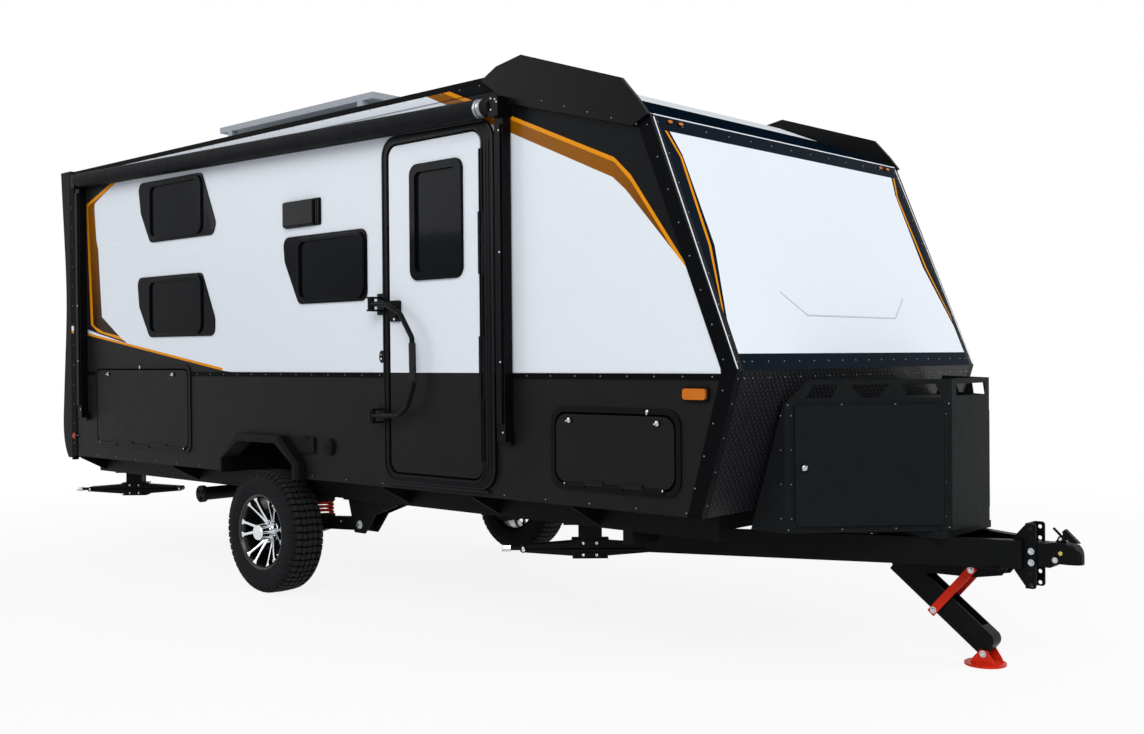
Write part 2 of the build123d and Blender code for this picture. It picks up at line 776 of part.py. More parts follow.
def coupler():
    """The ball coupler: a shank and a domed shell with its socket, bolted between the flanges."""
    half = hitch_half - 9
    shell = block(hitch_x0 + 13, ball_x + 62, -half, half, 480, ball_z + 60)
    side = [(hitch_x0 + 12, 490), (hitch_x0 + 12, 597), (3500, 597), (3532, 605), (3575, 605),
            (3622, 592), (3646, 566), (3650, 545), (3650, 511), (3552, 511), (3520, 490)]
    shell &= plate_xz(side, -100, 100)
    plan = [(hitch_x0 + 10, -half), (3540, -half), (3600, -45), (3636, -34), (3650, -14)]
    shell &= plate_xy(plan + [(x, -y) for x, y in reversed(plan)], 400, 700)
    shell -= Pos(ball_x, 0, ball_z) * Sphere(ball_d / 2 + 1)
    shell -= rod((ball_x, 0, 505), (ball_x, 0, ball_z), ball_d / 2 + 1)
    for z in hole_rows[2:4]:
        shell += rod((hole_x, -hitch_half - 13, z), (hole_x, hitch_half + 13, z), 9)
    return shell


def coupler_lever():
    """The latch lever on top of the coupler, with its thin safety bar."""
    z = ball_z + 60 + fit
    post = plate_xz([(3534, z), (3570, z), (3578, z + 22), (3560, z + 30), (3546, z + 24)], -16, 16)
    lever = plate_xz([(3630, z - 14), (3640, z - 4), (3574, z + 58), (3562, z + 48),
                      (3566, z + 20)], -13, 13)
    lever -= block(3600, 3660, -14, 14, z - 40, z - 0.5)
    bar = plate_xz([(3556, z + 16), (3564, z + 22), (3522, z + 62), (3515, z + 56)], -4, 4)
    return post + lever + bar


def jack_bracket():
    """The bracket under the tongue that holds the drop leg and its struts."""
    z1 = rail_z0 - tongue_h
    bracket = block(2740, 3330, -150, 150, z1 - 8, z1)
    points = [(2742, z1 - 8), (3330, z1 - 8), (3300, 432), (3190, 412), (3140, 408), (2900, 404),
              (2830, 388), (2790, 388), (2752, 420)]
    for y0 in (-leg_half - 7, leg_half + 1):
        cheek = plate_xz(points, y0, y0 + 6)
        x, z = strut_top
        bracket += cheek - rod((x, y0 - 1, z), (x, y0 + 7, z), 9 + fit)
    return bracket


def leg_points(low, high, start, end):
    """A strip along the drop leg, between two offsets from its axis, as (x, z) points."""
    (ax, az), (bx, bz) = leg_top, leg_low
    length = math.hypot(bx - ax, bz - az)
    ux, uz = (bx - ax) / length, (bz - az) / length
    return [(ax + ux * s - uz * n, az + uz * s + ux * n)
            for s, n in ((start, low), (end, low), (end, high), (start, high))]


def jack_leg():
    """The slanting drop leg: a deep channel, open above, with its inner leg and a round end."""
    leg = plate_xz(leg_points(-56, 56, -20, 574), -leg_half, leg_half)
    corners = leg.edges().filter_by(Axis.Y).sort_by(Axis.Z)
    leg = fillet(corners[1:2], 40)
    leg -= plate_xz(leg_points(-44, 60, -60, 480), -leg_half + 8, leg_half - 8)
    leg -= block(2600, 3000, -100, 100, 466, 600)
    for side in (-1, 1):
        leg -= plate_xz(leg_points(-34, 38, 60, 520), side * (leg_half - 3), side * (leg_half + 1))
    leg += plate_xz(leg_points(-30, 34, 60, 500), -26, 26)
    x, z = leg_pivot
    leg += rod((x, -leg_half - 0.7, z), (x, leg_half + 0.7, z), 12)
    for (x, z), r in ((strut_low, 9), (foot_pin, 9)):
        leg -= rod((x, -leg_half - 2, z), (x, leg_half + 2, z), r + fit)
    return leg - block(3100, 3300, -100, 100, 0, 30)


def jack_struts():
    """The red flat braces between the bracket and the drop leg, with their two bolts."""
    (ax, az), (bx, bz) = strut_top, strut_low
    length = math.hypot(bx - ax, bz - az)
    ux, uz = (bx - ax) / length * 22, (bz - az) / length * 22
    wx, wz = -uz / 22 * strut_w / 2, ux / 22 * strut_w / 2
    points = [(ax - ux - wx, az - uz - wz), (bx + ux - wx, bz + uz - wz),
              (bx + ux + wx, bz + uz + wz), (ax - ux + wx, az - uz + wz)]
    braces = plate_xz(points, -leg_half - 14, -leg_half - 7.5)
    braces += far(braces)
    for x, z in (strut_top, strut_low):
        braces += rod((x, -leg_half - 22, z), (x, leg_half + 22, z), 9)
    return braces


def jack_foot():
    """The round foot pad with the two ears that its pin goes through."""
    foot = rod((foot_x, 0, 0), (foot_x, 0, 10), 95)
    foot += rod((foot_x, 0, 10), (foot_x, 0, 18), 66)
    x, z = foot_pin
    ear = plate_xz([(x - 62, 10), (x - 46, 40), (x - 14, z + 18), (x + 18, z + 18), (x + 46, 34),
                    (x + 58, 10)], -leg_half - 9, -leg_half - 3)
    foot += both(ear)
    return foot + rod((x, -leg_half - 16, z), (x, leg_half + 16, z), 9)


def scissor_jack():
    """A folded scissor stabiliser: plates, four channel arms, trunnions and the screw."""
    length = 340
    jack = block(-95, 95, -55, 55, 40, 48)
    jack += block(-90, 90, -50, 50, -48, -40)
    for level in (-1, 1):
        jack += block(-66, 66, -46, 46, level * 20, level * 40)
    for end in (-1, 1):
        for level in (-1, 1):
            points = [(0, level * 3), (0, level * 30), (end * 60, level * 38),
                      (end * length, level * 17), (end * length, level * 2), (end * 60, level * 3)]
            jack += plate_xz(points, -38, 38)
        jack += rod((end * length, -44, 0), (end * length, 44, 0), 18)
    jack += rod((-length - 75, 0, 0), (length, 0, 0), 11)
    jack += rod((-length - 110, 0, 0), (-length - 70, 0, 0), 15)
    jack += block(-60, 60, -46, 46, 48, 40 + jack_drop)
    jack += block(-135, 135, -60, 60, 32 + jack_drop, 40 + jack_drop)
    return jack


def scissor_jacks():
    """The four stabilisers, each turned so that its nut faces outwards."""
    z = rail_z0 - 40 - jack_drop
    placed = []
    for x in (1468, -3165):
        near = Pos(x, -scissor_y, z) * Rot(0, 0, 42) * scissor_jack()
        placed.append(near)
        placed.append(far(near))
    return group(*placed)


def box_plan(t=0):
    """The storage box in plan, shrunk inwards by t."""
    slope = (box_half - box_nose_half) / (box_nose_x - box_side_x)
    k = t * (math.hypot(1, slope) - slope)
    j = t * (math.hypot(1, slope) - 1) / slope
    points = [
        (2300, -box_half + t), (box_side_x - j, -box_half + t),
        (box_nose_x - t, -box_nose_half + k)]
    return points + [(x, -y) for x, y in reversed(points)]


def box_back(z, t=0):
    """Where the body's lower nose lies at height z, plus clearance t."""
    slope = (chin_x - low_x) / (chin_z - floor_z)
    return low_x + (z - floor_z) * slope + t


def storage_box():
    """The sheet box on the tongue, with a doorway in each slanted face."""
    shell = plate_xy(box_plan(), box_z0, box_z1)
    shell -= plate_xy(box_plan(box_t), box_z0 + box_t, box_z1 - box_t)
    gap = 12
    cut = [(2000, box_z0 - 50), (box_back(box_z0 - 50, gap), box_z0 - 50),
           (box_back(box_z1 + 50, gap), box_z1 + 50), (2000, box_z1 + 50)]
    shell -= plate_xz(cut, -1000, 1000)
    back = [(box_back(box_z0, gap), box_z0), (box_back(box_z1, gap), box_z1),
            (box_back(box_z1, gap + box_t), box_z1), (box_back(box_z0, gap + box_t), box_z0)]
    shell += plate_xz(back, -box_half, box_half)
    opening = box_door_blank(0, 60, -20)
    shell -= opening
    shell -= far(opening)
    hinge = box_hinge()[0]
    shell += hinge
    shell += far(hinge)
    return shell + block(2420, box_nose_x - 20, -box_nose_half - 60, box_nose_half + 60,
                         rail_z0, box_z0)


def box_face_plane(out):
    """The plane of the near slanted face, moved outwards by out."""
    dx, dy = box_nose_x - box_side_x, box_half - box_nose_half
    length = math.hypot(dx, dy)
    u = (dx / length, dy / length, 0)
    n = (dy / length, -dx / length, 0)
    origin = (box_side_x + n[0] * out, -box_half + n[1] * out, 0)
    return Plane(origin=origin, x_dir=u, z_dir=n)


def box_door_blank(grow, thick, out):
    """A rounded blank in the near slanted face, for the door or its doorway."""
    w = face_length - 2 * box_door_margin + 2 * grow
    z0, z1 = box_z0 + 46, box_z1 - 28
    sketch = Pos(face_length / 2, (z0 + z1) / 2) * RectangleRounded(w, z1 - z0 + 2 * grow, 18)
    return extrude(box_face_plane(out) * sketch, amount=thick)


def box_hinge():
    """The storage door's hinge on the nose end of the near slanted face."""
    plane = box_face_plane(box_hinge_out)
    along = face_length - box_door_margin + 14 + 7
    place = Plane(origin=plane.origin + plane.x_dir * along + Vector(0, 0, box_z0 + 70),
                  x_dir=plane.x_dir, z_dir=(0, 0, 1)).location
    return knuckle_row(place, box_z1 - box_z0 - 130, 2, 6, 3, (0, 16, 0, box_hinge_out),
                       (-22, 0, 0, box_hinge_out - 0.5))


def box_door():
    """The near storage door, standing proud of its face on one edge hinge."""
    leaf = box_door_blank(14, 16, 0.5)
    latch_x, latch_z = box_door_margin + 26, (box_z0 + box_z1) / 2
    latch = extrude(box_face_plane(16.5) * (Pos(latch_x, latch_z) * Circle(17)), amount=7)
    leaf += latch
    for knuckle in box_hinge()[1]:
        leaf += knuckle
    return leaf


def box_rail():
    """The truss-cut rail round the top of the storage box."""
    plates = []
    y_top = box_z1 + truss_h
    side = make_face(Polyline((8, box_z1), (110, y_top), (face_length, y_top),
                              (face_length, box_z1), close=True))
    z0, z1 = box_z1 + 18, y_top - 22
    left = make_face(Polyline((96, z0), (132, z1), (250, z1), (214, z0), close=True))
    middle = make_face(Polyline((300, z1), (490, z1), (430, z0), (360, z0), close=True))
    right = make_face(Polyline((570, z0), (545, z1), (700, z1), (724, z0), close=True))
    side = side - left - middle - right
    slanted = extrude(box_face_plane(-4) * side, amount=4)
    nose = block(box_nose_x - 4, box_nose_x, -box_nose_half, box_nose_half, box_z1, y_top)
    nose -= block(box_nose_x - 10, box_nose_x + 5, -box_nose_half + 45, box_nose_half - 45,
                  box_z1 + 20, y_top - 24)
    return slanted + far(slanted) + nose


def marker_lamps():
    """Amber lamps: one on each side of the nose and a pair over each top corner."""
    side = panel(2340, 2464, 1257, 1306, -body_half - 24, -body_half, 14)
    return both(side)


def tail_lamps():
    """The upright red lamps at the rear corners."""
    lamp = block(lamp_x0, lamp_x1, -lamp_y1, -lamp_y0, lamp_z0, lamp_z1)
    lens_edges = lamp.faces().sort_by(Axis.X)[0].outer_wire().edges()
    return both(fillet(lens_edges, 12))


def waste_outlet():
    """The waste outlet pipe with its bayonet cap, behind the near wheel."""
    pipe = rod((-1870, -1020, 540), (-1870, -700, 540), 45)
    cap = rod((-1870, -1050, 540), (-1870, -1020, 540), 57)
    riser = rod((-1870, -760, 540), (-1870, -760, floor_z), 45)
    return pipe + cap + riser


def main():
    os.makedirs("parts", exist_ok=True)

    near_wall = side_wall(True)
    far_wall = far(side_wall(False))
    save("wall_near", near_wall)
    save("wall_far", far_wall)
    save("wall_rear", shell_panel(0, 1))
    save("rear_cap", rear_cap())
    save("roof", roof_panel())
    save("wall_front_upper", shell_panel(3, 4))
    save("wall_front_lower", shell_panel(4, 5))
    save("floor", floor_panel())
    save("wheel_wells", both(wheel_well()))
    save("wheel_flares", both(wheel_flare()))
    trims = group(edge_trim(), belt_rail(True), far(edge_trim()), far(belt_rail(False)))
    save("edge_trims", trims)
    save("roof_fairings", both(fairing()))
    save("solar_panel", solar_panel())
    save("vent_hood", vent_hood())
    save("service_inlets", service_inlets())

    frames = [window_frame(name) for name in window_sash]
    panes = [window_pane(name) for name in window_glass]
    save("window_frames", both(group(*frames)))
    save("window_panes", both(group(*panes)))

    save("door_frame", door_frame())
    save("door_leaf", door_leaf())
    save("door_window", door_pane())
    save("door_latch", door_latch())
    save("grab_handle", grab_handle())
    save("handle_brackets", handle_brackets())

    save("cargo_frames", both(group(cargo_frame("rear"), cargo_frame("front"))))
    for name in cargo_doors:
        leaf = cargo_leaf(name)
        save("cargo_door_" + name + "_near", leaf)
        save("cargo_door_" + name + "_far", far(leaf))

    save("awning_roll", awning_tube())
    save("awning_arms", awning_arms())

    save("chassis_frame", chassis())
    save("tongue_frame", tongue())
    save("hitch_channel", hitch_channel())
    save("coupler", coupler())
    save("coupler_lever", coupler_lever())
    save("jack_bracket", jack_bracket())
    save("jack_leg", jack_leg())
    save("jack_struts", jack_struts())
    save("jack_foot", jack_foot())
    save("scissor_jacks", scissor_jacks())
    save("waste_outlet", waste_outlet())

    save("pivot_hangers", both(pivot_hanger()))
    save("trailing_arms", both(trailing_arm()))
    save("coil_springs", both(coil_spring()))
    save("brake_drums", both(hub_and_brake()))

    near_tyre = Pos(0, -wheel_y, 0) * tyre()
    near_rim = Pos(0, -wheel_y, 0) * rim()
    save("tyre_near", near_tyre)
    save("rim_near", near_rim)
    save("tyre_far", far(near_tyre))
    save("rim_far", far(near_rim))

    door = box_door()
    save("storage_box", storage_box())
    save("storage_door_near", door)
    save("storage_door_far", far(door))
    save("storage_rail", box_rail())

    save("marker_lamps", marker_lamps())
    save("tail_lamps", tail_lamps())


if __name__ == "__main__":
    main()
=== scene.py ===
"""A single-axle travel trailer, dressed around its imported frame: graphics, rivets, tread, lamps."""

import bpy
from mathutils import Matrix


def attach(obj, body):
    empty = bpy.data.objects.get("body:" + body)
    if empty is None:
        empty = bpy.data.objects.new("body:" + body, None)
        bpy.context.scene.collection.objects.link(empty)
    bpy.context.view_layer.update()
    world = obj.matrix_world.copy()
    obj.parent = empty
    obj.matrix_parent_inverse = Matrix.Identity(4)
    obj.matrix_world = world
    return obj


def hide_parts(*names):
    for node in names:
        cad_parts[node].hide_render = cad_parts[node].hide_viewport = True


bl_info = {
    "name": "Travel trailer dresser",
    "version": (1, 0, 0),
    "blender": (4, 5, 0),
    "location": "3D View > Sidebar > Trailer",
    "description": "Finishes a travel trailer's walls, running gear and fittings",
    "category": "Object",
}

import math

import bpy
from bpy.props import FloatProperty, FloatVectorProperty, IntProperty, PointerProperty
from mathutils import Matrix, Vector

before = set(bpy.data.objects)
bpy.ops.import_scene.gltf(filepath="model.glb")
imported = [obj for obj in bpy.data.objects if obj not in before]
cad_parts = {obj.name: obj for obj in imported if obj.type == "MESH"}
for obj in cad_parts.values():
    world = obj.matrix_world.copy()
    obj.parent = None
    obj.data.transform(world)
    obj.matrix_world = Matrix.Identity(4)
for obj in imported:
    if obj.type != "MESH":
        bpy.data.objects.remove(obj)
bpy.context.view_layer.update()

MM = 0.001
NEAR, FAR = -1, 1                       # the door side is -Y
AXLE = Vector((-0.925, 0, 0.381))
WHEEL_Y = 1.097


def paint(code):
    """An sRGB hex colour as the linear colour that shaders and properties use."""
    parts = [int(code[i:i + 2], 16) / 255 for i in (0, 2, 4)]
    linear = [c / 12.92 if c <= 0.04045 else ((c + 0.055) / 1.055) ** 2.4 for c in parts]
    return (*linear, 1.0)


def colour_property(label, code, where):
    return FloatVectorProperty(name=label, description=where, subtype="COLOR", size=4,
                               min=0, max=1, default=paint(code))


def length_property(label, size, what):
    return FloatProperty(name=label, description=what, default=size, min=0.0001,
                         subtype="DISTANCE", unit="LENGTH")


class TrailerColours(bpy.types.PropertyGroup):
    wall_white: colour_property("Wall white", "e9edf2", "Laminated walls above the belt")
    wall_black: colour_property("Wall black", "1a1a1b", "Satin walls below the belt")
    nose_navy: colour_property("Nose blue-black", "07131f", "Gloss panels round the front")
    stripe: colour_property("Stripe orange", "e8920f", "Bright edge of the graphics")
    stripe_deep: colour_property("Deep orange", "8f550a", "Lower half of the graphics")
    coat_red: colour_property("Red coat", "d8301c", "Jack struts, foot and springs")
    lens_amber: colour_property("Amber lens", "c4600f", "Side marker and clearance lamps")


class TrailerSizes(bpy.types.PropertyGroup):
    rivet_radius: length_property("Rivet radius", 0.0036, "Dome of one blind rivet")
    rivet_pitch: length_property("Rivet pitch", 0.115, "Distance between two rivets")
    tread_depth: length_property("Tread depth", 0.012, "How deep a tread block is rooted")
    tread_repeats: IntProperty(name="Tread repeats", default=54, min=24, max=90,
                               description="Pitches of the tread round the tyre")


def add_node(tree, kind, inputs=(), out=None, **settings):
    """Adds a shader node, fills its inputs by name or in order, and returns one of its outputs."""
    node = tree.nodes.new("ShaderNode" + kind)
    for name, value in settings.items():
        setattr(node, name, value)
    if isinstance(inputs, dict):
        pairs = [(node.inputs[name], value) for name, value in inputs.items()]
    else:
        pairs = zip([socket for socket in node.inputs if socket.enabled], inputs)
    for socket, value in pairs:
        if isinstance(value, bpy.types.NodeSocket):
            tree.links.new(value, socket)
        else:
            socket.default_value = value
    return node.outputs[out] if out else next(end for end in node.outputs if end.enabled)


def finish(name, metallic=0.0, roughness=0.5, **sockets):
    """A new material with its tree and its main shader."""
    material = bpy.data.materials.new(name)
    material.use_nodes = True
    shader = material.node_tree.nodes["Principled BSDF"]
    for socket, value in dict(sockets, Metallic=metallic, Roughness=roughness).items():
        shader.inputs[socket.replace("_", " ")].default_value = value
    return material, material.node_tree, shader


def feed(tree, shader, **values):
    """Links outputs to a shader's sockets."""
    for socket, value in values.items():
        tree.links.new(value, shader.inputs[socket.replace("_", " ")])


def position_mm(tree):
    """Object coordinates in millimetres, as a vector and as its three parts."""
    place = add_node(tree, "TexCoord", out="Object")
    scaled = add_node(tree, "VectorMath", (place, 1000.0), operation="SCALE")
    return scaled, *add_node(tree, "SeparateXYZ", (scaled,)).node.outputs


def within(tree, value, low=None, high=None):
    """1 where a value lies over low and under high, each a number or an output, and 0 elsewhere."""
    tests = [add_node(tree, "Math", (value, limit), operation=test)
             for limit, test in ((low, "GREATER_THAN"), (high, "LESS_THAN")) if limit is not None]
    return gathered(tree, "MULTIPLY", *tests)


def gathered(tree, operation, *values):
    """All the values brought together, two by two, by one operation."""
    total = values[0]
    for value in values[1:]:
        total = add_node(tree, "Math", (total, value), operation=operation)
    return total


def layered(tree, base, *layers):
    """A base colour with (share, colour) layers laid over it in turn."""
    for share, colour in layers:
        base = add_node(tree, "Mix", (share, base, colour), data_type="RGBA")
    return base


def drifting(tree, place, size_mm, low, high, ease=0.2):
    """A value that wanders from low to high over patches about size_mm across."""
    noise = add_node(tree, "TexNoise", (place, 1 / size_mm, 3.0))
    return add_node(tree, "MapRange", (noise, 0.5 - ease, 0.5 + ease, low, high))


def tinted(tree, colour, place, size_mm, amount):
    """A colour that drifts a little lighter and darker over patches of size_mm."""
    share = drifting(tree, place, size_mm, 1 - amount, 1 + amount)
    return add_node(tree, "VectorMath", (colour[:3], share), operation="SCALE")


def polyline_value(tree, along, points):
    """The height of a line through the points, which run in rising order of the first number."""
    a0, a1 = points[0][0], points[-1][0]
    low, high = min(p[1] for p in points), max(p[1] for p in points)
    along = add_node(tree, "MapRange", (along, a0, a1, 0.0, 1.0))
    height = add_node(tree, "ValToRGB", (along,))
    stops = height.node.color_ramp.elements
    for index, (a, b) in enumerate(points):
        if index in (0, len(points) - 1):
            stop = stops[0 if index == 0 else -1]
            stop.position = (a - a0) / (a1 - a0)
        else:
            stop = stops.new((a - a0) / (a1 - a0))
        level = (b - low) / (high - low)
        stop.color = (level, level, level, 1)
    return add_node(tree, "MapRange", (height, 0.0, 1.0, low, high))


def axle_radius(tree, x, z):
    """How far a place is from the axle's line, in millimetres."""
    a = add_node(tree, "Math", (x, AXLE.x * 1000), operation="SUBTRACT")
    b = add_node(tree, "Math", (z, AXLE.z * 1000), operation="SUBTRACT")
    flat = add_node(tree, "CombineXYZ", {"X": a, "Z": b})
    return add_node(tree, "VectorMath", (flat,), operation="LENGTH")


def wave(tree, value, rate):
    """A sine along a value in millimetres, rate radians to each."""
    turned_by = add_node(tree, "Math", (value, rate), operation="MULTIPLY")
    return add_node(tree, "Math", (turned_by,), operation="SINE")


def add_bump(tree, shader, height, relief_mm):
    feed(tree, shader, Normal=add_node(tree, "Bump", {
        "Height": height, "Distance": relief_mm * MM, "Strength": 1.0}))


# Graphics on the side walls: corner points in millimetres, (x, z) in the trailer's frame
STRIPE_TOP = [(640, 2921), (1306, 2643), (1937, 2376), (2036, 2285), (2382, 1811), (2535, 1480)]
STRIPE_WIDTH = [(560, 22), (1937, 22), (2040, 30), (2382, 30), (2540, 22)]
WHITE_TOP = [(560, 2880), (1305, 2556), (1927, 2285), (2006, 2219), (2386, 1803), (2460, 1606),
             (2495, 1518), (2531, 1431), (2533, 1362)]
BELT = [(-3490, 1678), (-3249, 1644), (-1401, 1381), (-1300, 1372), (2600, 1372)]
WEDGE_TOP = [(-3490, 1735), (-3249, 1690), (-3074, 1652), (-2673, 1580)]
DIAGONAL_END, DIAGONAL_WIDTH = -1401, 17
FADE_END_X = -2000                      # behind this the deep band darkens downwards
# the rear graphics' edges, as (z, x), and the width of the bright line along them
REAR_LINE = [(1560, -2580), (1591, -2673), (1663, -3074), (1721, -3181), (2615, -3237),
             (2760, -2790)]
REAR_WHITE = [(1560, -2600), (1614, -2730), (1773, -3010), (2268, -3055), (2343, -3082),
              (2574, -3107), (2614, -3099), (2760, -2720)]
REAR_WIDTH = [(1560, 150), (1620, 130), (1700, 38), (2590, 30), (2640, 90), (2760, 140)]
ROOF_STRIP_Z = 2848
TRIM_WRAP_Z, TRIM_MIDDLE, TRIM_HALF = 2800, -1040, 2370    # where white shows on the roof trims
KNUCKLE_X, KNUCKLE_Y = 1029, 1172.4                        # past these lie the door's hinges


def wall_finish(colours, name="laminated_wall", kind="wall"):
    """Laminated fibreglass wall: hard gloss gelcoat above the belt, satin black skin below."""
    material, tree, shader = finish(name, Specular_IOR_Level=0.015 if kind == "trim" else 0.06)
    place, x, y, z = position_mm(tree)
    belt, white_top, stripe_top, stripe_width, wedge_top = (
        polyline_value(tree, x, line)
        for line in (BELT, WHITE_TOP, STRIPE_TOP, STRIPE_WIDTH, WEDGE_TOP))
    rear_line, rear_white, rear_width = (
        polyline_value(tree, z, line) for line in (REAR_LINE, REAR_WHITE, REAR_WIDTH))
    over_belt, under_strip = within(tree, z, belt), within(tree, z, None, ROOF_STRIP_Z)
    field = gathered(tree, "MULTIPLY", over_belt, under_strip, within(tree, z, None, white_top),
                     within(tree, x, rear_white))
    wedge = gathered(tree, "MULTIPLY", over_belt, within(tree, x, None, rear_line),
                     within(tree, z, None, wedge_top))
    white = gathered(tree, "MAXIMUM", field, wedge)
    # front band: deep orange under a bright upper edge
    in_front = gathered(tree, "MULTIPLY", within(tree, z, white_top, stripe_top), under_strip)
    front_bright = gathered(tree, "MULTIPLY", in_front, within(
        tree, z, gathered(tree, "SUBTRACT", stripe_top, stripe_width)))
    # rear band: a bright outer line and a deep inner part
    in_rear = gathered(tree, "MULTIPLY", within(tree, x, rear_line, rear_white), over_belt,
                       under_strip)
    rear_bright = gathered(tree, "MULTIPLY", in_rear, within(
        tree, x, None, gathered(tree, "ADD", rear_line, rear_width)))
    # the diagonal that rises to the rear above the belt
    diagonal = gathered(tree, "MULTIPLY", over_belt, within(tree, x, None, DIAGONAL_END), within(
        tree, z, None, gathered(tree, "ADD", belt, DIAGONAL_WIDTH)))
    bright = gathered(tree, "MAXIMUM", front_bright, rear_bright, diagonal)
    band = gathered(tree, "MAXIMUM", in_front, in_rear)

    fade_front = add_node(tree, "MapRange", (x, 1900.0, 2420.0, 0.0, 0.75))
    fade_rear = gathered(tree, "MULTIPLY", within(tree, x, None, FADE_END_X),
                         add_node(tree, "MapRange", (z, 2500.0, 1700.0, 0.1, 0.96)))
    deep = layered(tree, colours.stripe_deep,
                   (gathered(tree, "MAXIMUM", fade_front, fade_rear), paint("1a120a")))
    over_front = gathered(tree, "MULTIPLY", over_belt, within(tree, x, 0))
    black = layered(tree, tinted(tree, colours.wall_black, place, 260.0, 0.10),
                    (over_front, paint("0d0f11")))
    # the wall's front edge, the door's hinge knuckles and most of an edge trim are black
    if kind == "trim":
        off_middle = add_node(tree, "Math", (
            gathered(tree, "SUBTRACT", x, TRIM_MIDDLE),), operation="ABSOLUTE")
        plain = gathered(tree, "SUBTRACT", 1.0, gathered(
            tree, "MULTIPLY", within(tree, z, TRIM_WRAP_Z), under_strip,
            within(tree, off_middle, None, TRIM_HALF)))
    elif kind == "leaf":
        out = add_node(tree, "Math", (y,), operation="ABSOLUTE")
        plain = gathered(tree, "MULTIPLY", within(tree, x, KNUCKLE_X), within(tree, out, KNUCKLE_Y))
    else:
        normal = add_node(tree, "NewGeometry", out="Normal")
        plain = within(tree, add_node(tree, "SeparateXYZ", (normal,), out="X"), 0.5)
    orange = gathered(tree, "MULTIPLY", band, gathered(tree, "SUBTRACT", 1.0, white))
    colour = layered(tree, black, (white, tinted(tree, colours.wall_white, place, 900.0, 0.005)),
                     (orange, deep), (bright, colours.stripe), (plain, paint("0c0d0f")))
    glossy = add_node(tree, "MapRange", (gathered(tree, "MAXIMUM", white, band, bright),
                                         0.0, 1.0, 0.44, 0.24))
    feed(tree, shader, Base_Color=colour, Roughness=gathered(
        tree, "ADD", glossy, drifting(tree, place, 34.0, -0.03, 0.04, 0.15)))
    swell = add_node(tree, "TexNoise", (place, 1 / 620.0, 1.0))
    grain = add_node(tree, "TexNoise", (place, 1 / 3.0, 3.0))
    add_bump(tree, shader, gathered(tree, "ADD", gathered(tree, "MULTIPLY", swell, 3.0),
                                    gathered(tree, "MULTIPLY", grain, 0.03)), 0.35)
    return material


# The nose's white field and the orange line beside it: (z, distance from the middle)
NOSE_WHITE = [(1458, 1110), (1605, 1108), (1945, 1006), (2370, 1012), (2478, 1050)]
NOSE_LINE = [(1458, 1150), (1625, 1121), (1943, 1043), (2357, 1028), (2478, 1078)]
NOSE_LINE_HALF = [(1458, 3), (1620, 4), (1945, 9), (2478, 8)]


def nose_finish(colours):
    """Front laminate: white gelcoat field inside gloss blue-black borders with orange lines."""
    material, tree, shader = finish("nose_laminate", roughness=0.16, Specular_IOR_Level=0.012)
    place, x, y, z = position_mm(tree)
    out = add_node(tree, "Math", (y,), operation="ABSOLUTE")
    white_edge, line, half = (polyline_value(tree, z, points)
                              for points in (NOSE_WHITE, NOSE_LINE, NOSE_LINE_HALF))
    high = within(tree, z, NOSE_WHITE[0][0], NOSE_WHITE[-1][0])
    white = gathered(tree, "MULTIPLY", high, within(tree, out, None, white_edge))
    gap = add_node(tree, "Math", (gathered(tree, "SUBTRACT", out, line),), operation="ABSOLUTE")
    stripe = gathered(tree, "MULTIPLY", within(tree, gap, None, half), high,
                      within(tree, z, 1600), gathered(tree, "SUBTRACT", 1.0, white))
    colour = layered(tree, tinted(tree, colours.nose_navy, place, 300.0, 0.12),
                     (white, tinted(tree, colours.wall_white, place, 900.0, 0.005)),
                     (stripe, colours.stripe))
    gloss = add_node(tree, "MapRange", (white, 0.0, 1.0, 0.14, 0.24))
    feed(tree, shader, Base_Color=colour,
         Roughness=gathered(tree, "ADD", gloss, drifting(tree, place, 40.0, 0.0, 0.05)))
    add_bump(tree, shader, add_node(tree, "TexNoise", (place, 1 / 620.0, 1.0)), 0.6)
    return material


def roof_finish(colours):
    """Roof: pale membrane over the cabin, and a gloss blue-black skin down the nose."""
    material, tree, shader = finish("roof_skin", Specular_IOR_Level=0.0)
    place, x, y, z = position_mm(tree)
    nose = gathered(tree, "MULTIPLY", within(tree, x, 1650), within(tree, z, None, 2790))
    colour = layered(tree, tinted(tree, paint("e9ebec"), place, 120.0, 0.03),
                     (nose, tinted(tree, colours.nose_navy, place, 300.0, 0.12)))
    gloss = add_node(tree, "MapRange", (nose, 0.0, 1.0, 0.60, 0.16))
    feed(tree, shader, Base_Color=colour,
         Roughness=gathered(tree, "ADD", gloss, drifting(tree, place, 40.0, 0.0, 0.05)))
    add_bump(tree, shader, add_node(tree, "TexNoise", (place, 1 / 4.0, 3.0)), 0.2)
    return material


def speckled_finish(name, colour, roughness, grain_mm, relief_mm, metallic=0.0, drift=0.10,
                    shine=0.06):
    """A coated or moulded surface: an even colour with fine grain and slight wear."""
    material, tree, shader = finish(name, metallic, roughness, Specular_IOR_Level=shine)
    place = position_mm(tree)[0]
    feed(tree, shader, Base_Color=tinted(tree, colour, place, grain_mm * 40, drift),
         Roughness=drifting(tree, place, grain_mm * 12, roughness - 0.05, roughness + 0.07))
    add_bump(tree, shader, add_node(tree, "TexNoise", (place, 1 / grain_mm, 2.0)), relief_mm)
    return material


